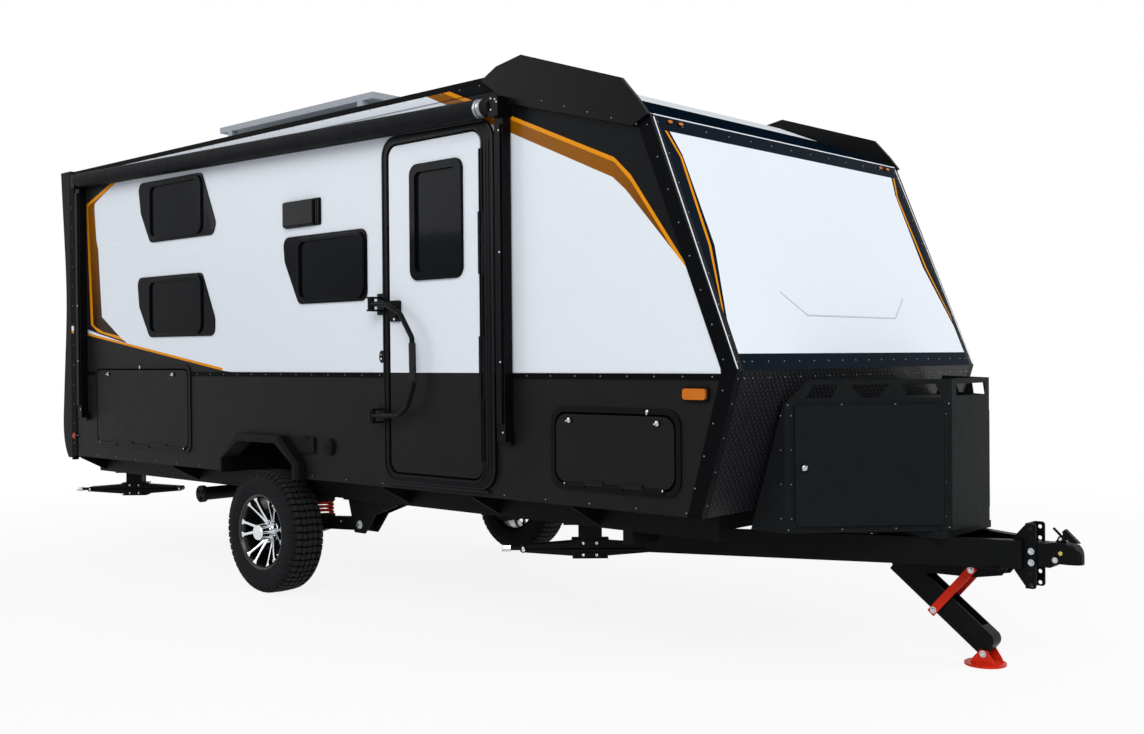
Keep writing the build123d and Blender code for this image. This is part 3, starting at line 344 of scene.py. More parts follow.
def tread_plate_finish(name, colour, pitch=36.0, half_length=11.0, half_width=3.6):
    """Black-coated tread plate: raised lozenges that lean one way and the other by turns, lightened
    as a painted highlight.
    """
    material, tree, shader = finish(name, 0.2, 0.34, Specular_IOR_Level=0.10)
    place, x, y, z = position_mm(tree)
    lozenges = []
    half = math.sqrt(0.5)
    for lean, shift in ((1, 0.0), (-1, pitch / 2)):
        a, b = (add_node(tree, "Math", (gathered(tree, "ADD", value, shift), pitch / 2, -pitch / 2),
                         operation="WRAP") for value in (y, z))
        along = gathered(tree, "ADD", gathered(tree, "MULTIPLY", a, half),
                         gathered(tree, "MULTIPLY", b, half * lean))
        across = gathered(tree, "SUBTRACT", gathered(tree, "MULTIPLY", a, half * lean),
                          gathered(tree, "MULTIPLY", b, half))
        squares = [gathered(tree, "POWER", gathered(tree, "MULTIPLY", value, 1 / size), 2.0)
                   for value, size in ((along, half_length), (across, half_width))]
        lozenges.append(add_node(tree, "Math", (1.0, gathered(tree, "ADD", *squares)),
                                 operation="SUBTRACT", use_clamp=True))
    lozenge = gathered(tree, "MAXIMUM", *lozenges)
    # painted highlight: the raised lozenges are lightened towards grey
    feed(tree, shader, Roughness=drifting(tree, place, 30.0, 0.30, 0.42), Base_Color=layered(
        tree, tinted(tree, colour, place, 90.0, 0.12),
        (gathered(tree, "MULTIPLY", lozenge, 0.55), paint("4a4c50"))))
    add_bump(tree, shader, gathered(tree, "POWER", lozenge, 0.6), 2.2)
    return material


def alloy_finish():
    """Alloy wheel: machined spoke faces with fine turning marks, black pockets and a black lip."""
    material, tree, shader = finish("machined_alloy", 1.0, 0.22)
    place, x, y, z = position_mm(tree)
    normal = add_node(tree, "SeparateXYZ", (add_node(tree, "NewGeometry", out="Normal"),), out="Y")
    facing, outer = (add_node(tree, "Math", (value,), operation="ABSOLUTE")
                     for value in (normal, y))
    radius = axle_radius(tree, x, z)
    cut = gathered(tree, "MULTIPLY", within(tree, facing, 0.62), within(tree, outer, 1125.5),
                   within(tree, radius, None, 214))
    feed(tree, shader, Base_Color=layered(tree, paint("101113"), (cut, paint("dfe2e6"))),
         Roughness=drifting(tree, place, 8.0, 0.20, 0.30),
         Metallic=add_node(tree, "MapRange", (cut, 0.0, 1.0, 0.2, 1.0)))
    add_bump(tree, shader, wave(tree, radius, 2.4), 0.04)
    return material


GROOVE_RADIUS, TREAD_HALF = 371.2, 84   # between these the carcass shows as the tread's grooves


def rubber_finish():
    """Carbon-black tyre rubber: matt, faintly dusty, with moulded rings on the sidewall and painted
    shade in the tread's grooves.
    """
    material, tree, shader = finish("tyre_rubber", 0.0, 0.78, Specular_IOR_Level=0.08)
    place, x, y, z = position_mm(tree)
    radius = axle_radius(tree, x, z)
    dust = add_node(tree, "MapRange", (add_node(tree, "TexNoise", (place, 1 / 26.0, 3.0)),
                                       0.4, 0.75, 0.0, 0.25))
    out = add_node(tree, "Math", (y,), operation="ABSOLUTE")
    across = add_node(tree, "Math", (gathered(tree, "SUBTRACT", out, WHEEL_Y * 1000),),
                      operation="ABSOLUTE")
    # painted shade: the carcass seen between the tread blocks is painted near-black
    painted_groove_shade = gathered(tree, "MULTIPLY", within(tree, radius, None, GROOVE_RADIUS),
                      within(tree, across, None, TREAD_HALF))
    colour = layered(tree, paint("17181a"), (within(tree, radius, GROOVE_RADIUS), paint("2a2a29")),
                     (dust, paint("2e2d2b")), (painted_groove_shade, paint("060606")))
    feed(tree, shader, Base_Color=colour, Roughness=drifting(tree, place, 6.0, 0.70, 0.86))
    grain = add_node(tree, "TexNoise", (place, 1 / 2.0, 3.0))
    add_bump(tree, shader, gathered(tree, "ADD", gathered(
        tree, "MULTIPLY", wave(tree, radius, 0.9), 0.5), grain), 0.3)
    return material


def glazing_finish():
    """Tinted acrylic glazing: nearly black, very smooth, with a slight ripple, and painted lighter
    towards the top as a painted reflection.
    """
    material, tree, shader = finish("tinted_acrylic", 0.0, 0.06, Specular_IOR_Level=0.04)
    place, x, y, z = position_mm(tree)
    # painted reflection: the glass is painted darker at the bottom and lighter towards the top
    painted_reflection_ramp = add_node(tree, "MapRange", (z, 1500.0, 2500.0, 0.7, 1.3))
    colour = add_node(tree, "VectorMath", (paint("0c0e11")[:3], painted_reflection_ramp), operation="SCALE")
    feed(tree, shader, Base_Color=colour, Roughness=drifting(tree, place, 30.0, 0.05, 0.10))
    add_bump(tree, shader, add_node(tree, "TexNoise", (place, 1 / 160.0, 1.0)), 0.5)
    return material


def solar_finish():
    """Solar glass: dark blue cells 156 mm apart with thin pale busbars, framed in silver."""
    material, tree, shader = finish("solar_cells", 0.0, 0.12)
    place, x, y, z = position_mm(tree)

    def near_line(value, pitch, half):
        wrapped = add_node(tree, "Math", (value, pitch / 2, -pitch / 2), operation="WRAP")
        return within(tree, add_node(tree, "Math", (wrapped,), operation="ABSOLUTE"), None, half)

    grid = gathered(tree, "MAXIMUM", near_line(x, 156.0, 1.6), near_line(y, 156.0, 1.6),
                    gathered(tree, "MULTIPLY", near_line(x, 39.0, 0.7), 0.35))
    off_middle = [add_node(tree, "Math", (gathered(tree, "ADD", value, shift),),
                           operation="ABSOLUTE") for value, shift in ((x, 875.0), (y, 480.0))]
    side = gathered(tree, "SUBTRACT", 1.0, within(tree, z, 3007.5))
    framed = gathered(tree, "MAXIMUM", within(tree, off_middle[0], 785),
                      within(tree, off_middle[1], 470), side)
    feed(tree, shader, Base_Color=layered(tree, paint("0c1630"), (grid, paint("9aa2ad")),
                                          (framed, paint("8d939b"))),
         Roughness=add_node(tree, "MapRange", (framed, 0.0, 1.0, 0.10, 0.42)))
    add_bump(tree, shader, add_node(tree, "TexNoise", (place, 1 / 12.0, 3.0)), 0.1)
    return material


def cloth_finish():
    """Coated awning cloth, rolled: a 1.6 mm canvas weave drawn coarse enough to show."""
    material, tree, shader = finish("rolled_awning_cloth", 0.0, 0.62, Specular_IOR_Level=0.05)
    place, x, y, z = position_mm(tree)
    weave = gathered(tree, "MULTIPLY", wave(tree, x, 1.2), wave(tree, z, 1.2), 0.12)
    sag = add_node(tree, "TexNoise", (place, 1 / 220.0, 1.0))
    feed(tree, shader, Base_Color=tinted(tree, paint("17181a"), place, 140.0, 0.14),
         Roughness=drifting(tree, place, 30.0, 0.55, 0.70))
    add_bump(tree, shader, gathered(tree, "ADD", weave, sag), 0.9)
    return material


def lens_finish(name, colour, glow):
    """Moulded lamp lens: clear coloured acrylic, ribbed inside, with the light of a pale reflector
    behind it painted in as bright rib stripes.
    """
    material, tree, shader = finish(name, 0.0, 0.14, IOR=1.49, Specular_IOR_Level=0.15)
    place, x, y, z = position_mm(tree)
    ribs = wave(tree, gathered(tree, "ADD", x, y), 0.9)
    # painted glow: the rib stripes are lightened towards the glow colour, standing in for the
    # reflector's light
    share = add_node(tree, "MapRange", (ribs, -1.0, 1.0, 0.0, 0.45))
    feed(tree, shader, Base_Color=layered(tree, colour, (share, glow)),
         Roughness=drifting(tree, place, 9.0, 0.10, 0.2))
    add_bump(tree, shader, ribs, 0.3)
    return material


FINISHES = {}

# Surfaces of one kind of coat or metal: material name, colour, roughness, grain and relief in
# millimetres, then metallic, drift of the colour and shine where they aren't the usual ones
COATS = {
    # gloss polyurethane over a moulded skin, deep and smooth like a car's bonnet
    "gloss_black": ("gloss_skin", "131517", 0.18, 9.0, 0.15, 0.0, 0.10, 0.03),
    "coat_black": ("powder_coated_steel", "0e0f10", 0.36, 1.6, 0.12),
    "trim_black": ("anodised_extrusion", "090a0c", 0.34, 0.9, 0.05),
    "trim_light": ("brushed_extrusion", "1d1f22", 0.30, 0.9, 0.05, 0.6),
    "chassis": ("chassis_enamel", "0d0e0f", 0.46, 2.4, 0.25),
    "box_coat": ("satin_box_coat", "1a1c1d", 0.40, 2.0, 0.10, 0.0, 0.10, 0.025),
    "plastic": ("moulded_abs", "0e0f10", 0.52, 1.2, 0.18),
    "grip_rubber": ("moulded_grip_rubber", "2a2b2c", 0.70, 1.0, 0.25),
    # plated and turned metal: bright, with the faint grain that plating leaves
    "rivet": ("dulled_aluminium_rivets", "7d8083", 0.42, 1.4, 0.04, 1.0),
    "zinc": ("zinc_plate", "c4c8cc", 0.28, 1.4, 0.04, 1.0),
    "yellow_zinc": ("yellow_zinc_plate", "c9b264", 0.30, 1.4, 0.04, 1.0),
    "chrome": ("bright_chrome", "dfe2e5", 0.12, 4.0, 0.02, 1.0, 0.03),
    "worn_silver": ("worn_silver_ring", "8d9194", 0.36, 1.4, 0.06, 1.0),
    "iron": ("cast_iron", "232427", 0.66, 2.2, 0.5, 0.3),
    # vinyl: even and half matt; the last is the grey of painted shade along the nose's pressed line
    "line_white": ("white_trim_vinyl", "eceff2", 0.35, 2.0, 0.05, 0.0, 0.03),
    "line_grey": ("white_panel_edge", "c9ced4", 0.4, 2.0, 0.05, 0.0, 0.03),
}


def make_finishes():
    """Every material of the trailer, by a short name."""
    c = bpy.context.scene.trailer_colours
    for key, (name, code, *rest) in COATS.items():
        FINISHES[key] = speckled_finish(name, paint(code), *rest)
    FINISHES.update(
        wall=wall_finish(c),
        leaf=wall_finish(c, "door_laminate", "leaf"),
        edge=wall_finish(c, "wrapped_edge_extrusion", "trim"),
        nose=nose_finish(c),
        roof=roof_finish(c),
        plate_nose=tread_plate_finish("tread_plate", paint("141517")),
        rubber=rubber_finish(),
        alloy=alloy_finish(),
        acrylic=glazing_finish(),
        solar=solar_finish(),
        cloth=cloth_finish(),
        red=speckled_finish("red_powder_coat", c.coat_red, 0.34, 1.6, 0.10, drift=0.06),
        stripe=speckled_finish("orange_trim_vinyl", c.stripe, 0.35, 2.0, 0.05, drift=0.03),
        # each lens's second colour is its painted glow
        amber=lens_finish("amber_lens", c.lens_amber, paint("e0922c")),
        ruby=lens_finish("red_lens", paint("9d1119"), paint("e5484a")),
    )


NODE_FINISH = {
    "wall": "wall_near wall_far cargo_door_rear_near cargo_door_rear_far "
            "cargo_door_front_near cargo_door_front_far",
    "leaf": "door_leaf",
    "nose": "wall_front_upper",
    "gloss_black": "rear_cap wall_rear",
    "coat_black": "roof_fairings grab_handle handle_brackets jack_leg coupler_lever",
    "box_coat": "storage_box storage_door_near storage_door_far storage_rail",
    "edge": "edge_trims",
    "trim_black": "door_frame cargo_frames awning_arms",
    "chassis": "floor wheel_wells chassis_frame tongue_frame hitch_channel coupler jack_bracket "
               "scissor_jacks pivot_hangers trailing_arms",
    "plate_nose": "wall_front_lower",
    "roof": "roof",
    "plastic": "wheel_flares service_inlets door_latch waste_outlet",
    "rubber": "tyre_near tyre_far",
    "alloy": "rim_near rim_far",
    "acrylic": "window_panes window_frames door_window vent_hood",
    "solar": "solar_panel",
    "cloth": "awning_roll",
    "red": "jack_struts jack_foot coil_springs",
    "amber": "marker_lamps",
    "ruby": "tail_lamps",
    "iron": "brake_drums",
}


def dress_nodes():
    """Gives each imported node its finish."""
    for key, names in NODE_FINISH.items():
        for name in names.split():
            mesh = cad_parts[name].data
            mesh.materials.clear()
            mesh.materials.append(FINISHES[key])


class TRAILER_OT_finishes(bpy.types.Operator):
    """Makes the finishes and gives them to the frame's own parts"""
    bl_idname = "trailer.finishes"
    bl_label = "Finish the frame"

    def execute(self, context):
        make_finishes()
        dress_nodes()
        return {"FINISHED"}


def clear_selection():
    if bpy.context.object and bpy.context.object.mode != "OBJECT":
        bpy.ops.object.mode_set(mode="OBJECT")
    bpy.ops.object.select_all(action="DESELECT")


def pick(*pieces):
    """Makes these the only selected objects, the first one active."""
    clear_selection()
    for piece in pieces:
        piece.select_set(True)
    bpy.context.view_layer.objects.active = pieces[0]
    return pieces[0]


def new_piece(kind, **where):
    """A new primitive by itself in the selection."""
    clear_selection()
    getattr(bpy.ops.mesh, "primitive_" + kind + "_add")(**where)
    return bpy.context.object


def modify(piece, kind, **settings):
    """Adds one modifier and applies it."""
    pick(piece)
    modifier = piece.modifiers.new(kind.title(), kind)
    for name, value in settings.items():
        setattr(modifier, name, value)
    bpy.ops.object.modifier_apply(modifier=modifier.name)


def draw_line(points):
    """Starts a piece as a chain of edges through the points and leaves it in edit mode."""
    points = [Vector(p) for p in points]
    piece = new_piece("plane", size=0.01)
    bpy.ops.object.mode_set(mode="EDIT")
    bpy.ops.mesh.merge(type="CENTER")
    bpy.ops.transform.translate(value=points[0])
    for a, b in zip(points, points[1:]):
        bpy.ops.mesh.extrude_vertices_move(TRANSFORM_OT_translate={"value": b - a})
    bpy.ops.mesh.select_all(action="SELECT")
    return piece


def close_up():
    """Merges what meets, turns the normals outwards and leaves edit mode."""
    bpy.ops.mesh.select_all(action="SELECT")
    bpy.ops.mesh.remove_doubles(threshold=0.00002)
    bpy.ops.mesh.normals_make_consistent(inside=False)
    bpy.ops.object.mode_set(mode="OBJECT")


def drawn_plate(outline, push, ring=0.0):
    """A plate drawn point by point in metres, filled and pulled along push; ring keeps a border."""
    piece = draw_line(outline)
    bpy.ops.mesh.edge_face_add()
    if ring:
        bpy.ops.mesh.inset(thickness=ring)
        bpy.ops.mesh.delete(type="FACE")
        bpy.ops.mesh.select_all(action="SELECT")
    bpy.ops.mesh.extrude_region_move(TRANSFORM_OT_translate={"value": push})
    close_up()
    return piece


def turned(profile, steps=48):
    """A form turned about the Y axis from a closed profile of (radius, y) in millimetres."""
    piece = draw_line([(0, y * MM, r * MM) for r, y in [*profile, profile[0]]])
    bpy.ops.mesh.spin(steps=steps, angle=math.tau, center=(0, 0, 0), axis=(0, 1, 0))
    close_up()
    return piece


def ribbon(stations, push):
    """A strip of changing width through (x, y, z, half width) stations, pulled along push."""
    first = Vector(stations[0][:3]) * MM
    half = Vector((stations[0][3] * MM, 0, 0))
    piece = draw_line([first - half, first + half])
    for a, b in zip(stations, stations[1:]):
        bpy.ops.mesh.extrude_region_move(
            TRANSFORM_OT_translate={"value": (Vector(b[:3]) - Vector(a[:3])) * MM})
        bpy.ops.transform.resize(value=(b[3] / a[3], 1, 1), center_override=Vector(b[:3]) * MM)
    bpy.ops.mesh.select_all(action="SELECT")
    bpy.ops.mesh.extrude_region_move(TRANSFORM_OT_translate={"value": push})
    close_up()
    return piece


def rounded(x0, x1, z0, z1, r, steps=5):
    """The corner points of an upright rectangle with round corners, as (x, z)."""
    points = []
    for cx, cz, turn in ((x1 - r, z1 - r, 0), (x0 + r, z1 - r, 90), (x0 + r, z0 + r, 180),
                         (x1 - r, z0 + r, 270)):
        for k in range(steps + 1):
            a = math.radians(turn + 90 * k / steps)
            points.append((cx + r * math.cos(a), cz + r * math.sin(a)))
    return points


def on_side(points, y):
    """(x, z) points in millimetres as places on an upright plane at y."""
    return [(x * MM, y * MM, z * MM) for x, z in points]


def settle(name, piece, key, body="trailer", smooth=None):
    """Names a piece, fixes its place in its mesh, gives it its finish and lets it ride."""
    pick(piece)
    bpy.ops.object.transform_apply(location=True, rotation=True, scale=True)
    piece.name = piece.data.name = name
    piece.data.materials.clear()
    piece.data.materials.append(FINISHES[key])
    if smooth:
        bpy.ops.object.shade_smooth_by_angle(angle=math.radians(smooth))
    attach(piece, body)
    return piece


def joined(pieces):
    """Several pieces made one."""
    for piece in pieces:
        pick(piece)
        bpy.ops.object.transform_apply(location=True, rotation=True, scale=True)
    pick(*pieces)
    if len(pieces) > 1:
        bpy.ops.object.join()
    return bpy.context.object


def copied(piece, matrix):
    """A copy with its own mesh, moved by matrix from where the first one is."""
    pick(piece)
    bpy.ops.object.duplicate()
    copy = bpy.context.object
    copy.matrix_world = matrix @ piece.matrix_world
    return copy


def on_both_sides(piece):
    """Fixes a piece's place in its mesh and mirrors it to the other side of the trailer."""
    pick(piece)
    bpy.ops.object.transform_apply(location=True, rotation=True, scale=True)
    modify(piece, "MIRROR", use_axis=(False, True, False), use_mirror_merge=False)
    return piece


def set_frame(piece, place, along, out):
    """Stands a piece at place, its X along one line and its Z out of the surface."""
    x = Vector(along).normalized()
    z = Vector(out)
    z = (z - x * x.dot(z)).normalized()
    turn = Matrix((x, z.cross(x), z)).transposed().to_4x4()
    piece.matrix_world = Matrix.Translation(Vector(place)) @ turn
    return piece


def rivet_row(start, end, out, pitch=None):
    """Flat-domed rivets between two points in millimetres, on a face that looks along out."""
    sizes = bpy.context.scene.trailer_sizes
    a, b = Vector(start) * MM, Vector(end) * MM
    count = max(2, round((b - a).length / (pitch or sizes.rivet_pitch)) + 1)
    piece = new_piece("uv_sphere", segments=8, ring_count=4, radius=sizes.rivet_radius)
    piece.scale = (1, 1, 0.5)
    bpy.ops.object.transform_apply(location=False, rotation=False, scale=True)
    modify(piece, "ARRAY", count=count, use_relative_offset=False, use_constant_offset=True,
           constant_offset_displace=((b - a).length / (count - 1), 0, 0))
    return set_frame(piece, a, b - a, out)


def stud(place, out, radius, height, sides=20, ease=0.2, along=(1, 0, 0)):
    """A round or sided boss on a surface at place, in millimetres, its rim eased by a share."""
    r, h = radius * MM, height * MM
    piece = new_piece("circle", vertices=sides, radius=r, fill_type="NGON")
    bpy.ops.object.mode_set(mode="EDIT")
    bpy.ops.mesh.extrude_region_move(TRANSFORM_OT_translate={"value": (0, 0, h * (1 - ease))})
    bpy.ops.mesh.extrude_region_move(TRANSFORM_OT_translate={"value": (0, 0, h * ease)})
    shrink = 1 - ease * 0.8
    bpy.ops.transform.resize(value=(shrink, shrink, 1), center_override=(0, 0, h))
    close_up()
    if abs(Vector(along).normalized().dot(Vector(out).normalized())) > 0.9:
        along = (0, 0, 1)
    return set_frame(piece, Vector(place) * MM, along, out)


def strip(start, end, out, width, height):
    """A slim flat moulding with eased edges between two points in millimetres."""
    a, b = Vector(start) * MM, Vector(end) * MM
    w, h, length = width * MM / 2, height * MM, (b - a).length
    piece = drawn_plate([(0, -w, 0), (0, -w, h * 0.6), (0, -w * 0.7, h), (0, w * 0.7, h),
                         (0, w, h * 0.6), (0, w, 0)], (length, 0, 0))
    return set_frame(piece, a, b - a, out)


# The nose's foremost line, how far it falls back for each millimetre up or down, and where its
# two faces look
BREAK_X, BREAK_Z = 2620, 1385
BROW_SLOPE, CHIN_SLOPE = 0.4034, 0.3021
FRONT_OUT, CHIN_OUT = (0.927, 0, 0.374), (0.957, 0, -0.289)


def front_x(z):
    """Where the nose stands at height z, in millimetres."""
    return BREAK_X - (BROW_SLOPE * (z - BREAK_Z) if z > BREAK_Z else CHIN_SLOPE * (BREAK_Z - z))


# The storage box's near slanted face: its rear edge, the line along it and where it looks
SLANT_X, SLANT_Y = 2595, -755
SLANT, SLANT_OUT = Vector((0.6974, 0.7167, 0)), Vector((0.7167, -0.6974, 0))


def on_slant(s, z, out=0.0):
    """A place on the storage box's near slanted face, s from its rear edge."""
    return Vector((SLANT_X, SLANT_Y, z)) + SLANT * s + SLANT_OUT * out


# Rows of rivets on a side wall in millimetres: height out from the middle, two ends, pitch
SIDE_RIVETS = [
    (1165, (-1700, 1358), (210, 1358), 0.160),
    (1165, (1200, 1358), (2490, 1358), 0.160),
    (1167, (-3453, 830), (-3453, 2760), 0.150),
    (1167, (-3400, 2843), (1040, 2843), 0.150),
    (1189, (1502, 2697), (2094, 2505), 0.156),
    (1167, (2139, 2500), (2550, 1433), 0.153),
    (1167, (2545, 1299), (2394, 866), 0.153),
    (1160, (-3380, 752), (-1420, 752), 0.290),
    (1160, (-440, 752), (220, 752), 0.290),
    (1160, (1190, 752), (2340, 752), 0.290),
]


class TRAILER_OT_rivets(bpy.types.Operator):
    """Sets the rivets and screws along the trims, the nose and the storage box"""
    bl_idname = "trailer.rivets"
    bl_label = "Rivets"

    def execute(self, context):
        rows = [rivet_row((a[0], -y, a[1]), (b[0], -y, b[1]), (0, -1, 0), pitch)
                for y, a, b, pitch in SIDE_RIVETS]
        settle("side_rivets", on_both_sides(joined(rows)), "rivet", smooth=60)
        rows = []
        for z, half, pitch, out in ((1423, 1026, 0.128, FRONT_OUT), (1350, 1027, 0.127, CHIN_OUT),
                                    (2516, 1119, 0.192, FRONT_OUT)):
            rows.append(rivet_row((front_x(z), -half, z), (front_x(z), half, z), out, pitch))
        for z, y0, out in ((1423, 1088, FRONT_OUT), (1350, 1092, CHIN_OUT)):
            for side in (-1, 1):
                rows.append(rivet_row((front_x(z), side * y0, z), (front_x(z), side * (y0 + 50), z),
                                      out))
        for side in (-1, 1):
            for (y0, z0), (y1, z1), out in (((1111, 2367), (1136, 1535), FRONT_OUT),
                                            ((1140, 1240), (1140, 790), CHIN_OUT)):
                rows.append(rivet_row((front_x(z0), side * y0, z0), (front_x(z1), side * y1, z1),
                                      out, 0.150))
        settle("nose_rivets", joined(rows), "rivet", smooth=60)
        rows = []
        for s in (29, 745):
            rows.append(rivet_row(on_slant(s, 706), on_slant(s, 1174), SLANT_OUT, 0.156))
        for z in (655, 1222):
            rows.append(rivet_row(on_slant(14, z), on_slant(760, z), SLANT_OUT, 0.249))
        rows.append(rivet_row((2572, -755, 706), (2572, -755, 1174), (0, -1, 0), 0.156))
        settle("box_rivets", on_both_sides(joined(rows)), "rivet", smooth=60)
        return {"FINISHED"}


class TRAILER_OT_nose_trims(bpy.types.Operator):
    """Lays the thin white mouldings round the nose and the pressed line across it"""
    bl_idname = "trailer.nose_trims"
    bl_label = "Nose trims"

    def execute(self, context):
        corner = strip((front_x(2537), -1139, 2537), (front_x(1392), -1156, 1392), FRONT_OUT, 6, 3)
        settle("corner_lines", on_both_sides(corner), "line_white")
        brow = strip((2151, -1136, 2549), (2151, 1136, 2549), (0.72, 0, 0.69), 7, 3)
        settle("brow_line", brow, "line_white")
        press = [(-599, 1746), (-428, 1639), (443, 1639), (606, 1746)]
        lines = [strip((front_x(za), ya, za), (front_x(zb), yb, zb), FRONT_OUT, 8, 3)
                 for (ya, za), (yb, zb) in zip(press, press[1:])]
        # the pressed line's grey is painted shade along the press
        settle("pressed_line", joined(lines), "line_grey")
        for name, key, z0, z1 in (("rear_decal_white", "line_white", 1684, 1718),
                                  ("rear_decal_orange", "stripe", 1664, 1684)):
            outline = [(-3474, z0), (-3440, z0 - 4), (-3440, z1 - 4), (-3474, z1)]
            plate = drawn_plate(on_side(outline, -1167), (0, -0.0008, 0))
            settle(name, plate, key)
        return {"FINISHED"}


# The tyre's outside from bead to bead and its tread, in millimetres about its own axle
TYRE_SIDE = [(224, 88), (223, 97), (229, 105), (240, 109), (250, 110.5), (253, 113), (258, 113.4),
             (262, 111.8), (278, 115.6), (296, 117.4), (313, 116.6), (329, 113.6), (343, 108.5),
             (354, 101), (362, 90), (366, 76), (369, 45), (370, 15)]
MIDDLE_BLOCKS = [
    [[(-18, -13), (-7, -17), (15, -12), (19, 4), (9, 15), (-15, 11)],
     [(-17, 20), (3, 18), (18, 29), (16, 50), (-4, 57), (-19, 45), (-12, 33)],
     [(-13, -24), (-19, -44), (-6, -56), (15, -50), (19, -33), (5, -21)]],
    [[(-17, -9), (2, -16), (18, -10), (14, 13), (-5, 16), (-19, 8)],
     [(-19, 22), (-3, 21), (17, 24), (19, 41), (8, 55), (-12, 52), (-16, 37)],
     [(-17, -22), (-13, -42), (-18, -52), (2, -58), (18, -45), (12, -20)]],
]
SHOULDERS = [
    [(63, 378.4), (84, 375.8), (97, 369), (106, 358), (111, 345), (111.5, 333), (106, 332),
     (98, 348), (84, 358), (63, 362)],
    [(63, 378.4), (84, 375.8), (97, 369), (106, 358), (109, 349), (104, 347), (96, 352),
     (84, 358), (63, 362)],
]


def tread_pitch(kind, turn):
    """One pitch of the tread at the tyre's top, turned about the axle."""
    depth = bpy.context.scene.trailer_sizes.tread_depth
    blocks = []
    for outline in MIDDLE_BLOCKS[kind]:
        crown = [(x * MM, y * MM, (380.4 - 0.0009 * y * y) * MM) for x, y in outline]
        blocks.append(drawn_plate(crown, (0, 0, -depth)))
    for side in (-1, 1):
        profile = SHOULDERS[kind if side < 0 else 1 - kind]
        x = -16 + side * 5
        blocks.append(drawn_plate([(x * MM, side * y * MM, z * MM) for y, z in profile],
                                  (0.031, 0, 0)))
    group = joined(blocks)
    modify(group, "BEVEL", width=0.0013, segments=1, limit_method="ANGLE",
           angle_limit=math.radians(50))
    group.matrix_world = Matrix.Rotation(turn, 4, "Y")
    return group


def wheel_places():
    """Where the wheels stand, as (side word, body, matrix); the far one is turned, not mirrored."""
    for word, side, turn in (("near", NEAR, 0), ("far", FAR, math.pi)):
        place = Vector((AXLE.x, side * WHEEL_Y, AXLE.z))
        yield word, "wheel_" + word, Matrix.Translation(place) @ Matrix.Rotation(turn, 4, "Z")


def fit_to_wheels(name, piece, key, replaces=None, smooth=35):
    """Copies a piece that is made about the origin's axle to both wheels."""
    for word, body, matrix in wheel_places():
        copy = settle(name + "_" + word, copied(piece, matrix), key, body, smooth)
        if replaces:
            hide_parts(replaces + "_" + word)
    bpy.data.objects.remove(piece)


class TRAILER_OT_tyres(bpy.types.Operator):
    """Builds the all-terrain tyres: a moulded carcass and rings of irregular tread blocks"""
    bl_idname = "trailer.tyres"
    bl_label = "Tyres"

    def execute(self, context):
        pairs = context.scene.trailer_sizes.tread_repeats // 2
        step = math.tau / pairs
        side = [(r, -y) for r, y in TYRE_SIDE]
        carcass = turned(side + TYRE_SIDE[::-1], 72)
        tread = joined([tread_pitch(0, -step / 4), tread_pitch(1, step / 4)])
        bpy.ops.object.empty_add(rotation=(0, step, 0))
        turn = bpy.context.object
        modify(tread, "ARRAY", count=pairs, use_relative_offset=False, use_object_offset=True,
               offset_object=turn)
        bpy.data.objects.remove(turn)
        fit_to_wheels("road_tyre", joined([carcass, tread]), "rubber", "tyre")
        return {"FINISHED"}


# One branch of a forked spoke: distance from the axle, sideways lean, face depth, half width
SPOKE_STATIONS = [(44, 5, -33, 12), (92, 12, -51, 10), (132, 21, -69, 8.5), (166, 31, -84, 8),
                  (190, 38, -94, 8.5), (200, 40.5, -98, 15), (213, 43, -102, 21)]
BARREL = [(237, -98), (237, -105), (233, -108.5), (227, -108.5), (221, -103), (214, -92),
          (208, -70), (204, -30), (204, 60), (208, 88), (230, 104), (237, 104), (237, 98),
          (221, 94), (221, -94)]
HUB = [(34, 6), (80, 6), (82, -24), (76, -30), (34, -30)]
HUB_CAP = [(36, -28), (50, -28), (50, -116), (48.5, -124), (44, -129), (36, -130.5), (34, -128.5),
           (12, -129.5), (0, -130), (0, -125), (40, -122), (44, -114), (44, -44), (36, -42)]


class TRAILER_OT_alloys(bpy.types.Operator):
    """Builds the dished alloy wheels with six forked spokes, a tall hub cap and six nuts"""
    bl_idname = "trailer.alloys"
    bl_label = "Alloy wheels"

    def execute(self, context):
        branches = []
        for lean in (-1, 1):
            stations = [(lean * x, y, r, w) for r, x, y, w in SPOKE_STATIONS]
            branch = ribbon(stations, (0, 0.022, 0))
            modify(branch, "BEVEL", width=0.0022, segments=2, limit_method="ANGLE",
                   angle_limit=math.radians(40))
            branches.append(branch)
        fork = joined(branches)
        spokes = [copied(fork, Matrix.Rotation(math.radians(32 + 60 * k), 4, "Y"))
                  for k in range(6)]
        bpy.data.objects.remove(fork)
        wheel = joined([turned(BARREL, 72), turned(HUB, 48), *spokes])
        fit_to_wheels("alloy_wheel", wheel, "alloy", "rim")
        fit_to_wheels("hub_cap", turned(HUB_CAP, 48), "chrome")
        nuts = [stud((65 * math.sin(a), -30, 65 * math.cos(a)), (0, -1, 0), 10.5, 26, 6, 0.25)
                for a in (math.radians(2 + 60 * k) for k in range(6))]
        fit_to_wheels("wheel_nuts", joined(nuts), "chrome", smooth=25)
        valve = joined([stud((0, -70, 196), (0, -1, -0.25), 5, 16, 10, 0.2),
                        stud((0, -85, 192.4), (0, -1, -0.25), 3.2, 13, 10, 0.2)])
        valve.matrix_world = Matrix.Rotation(math.radians(62), 4, "Y")
        fit_to_wheels("tyre_valve", joined([valve]), "grip_rubber")
        return {"FINISHED"}


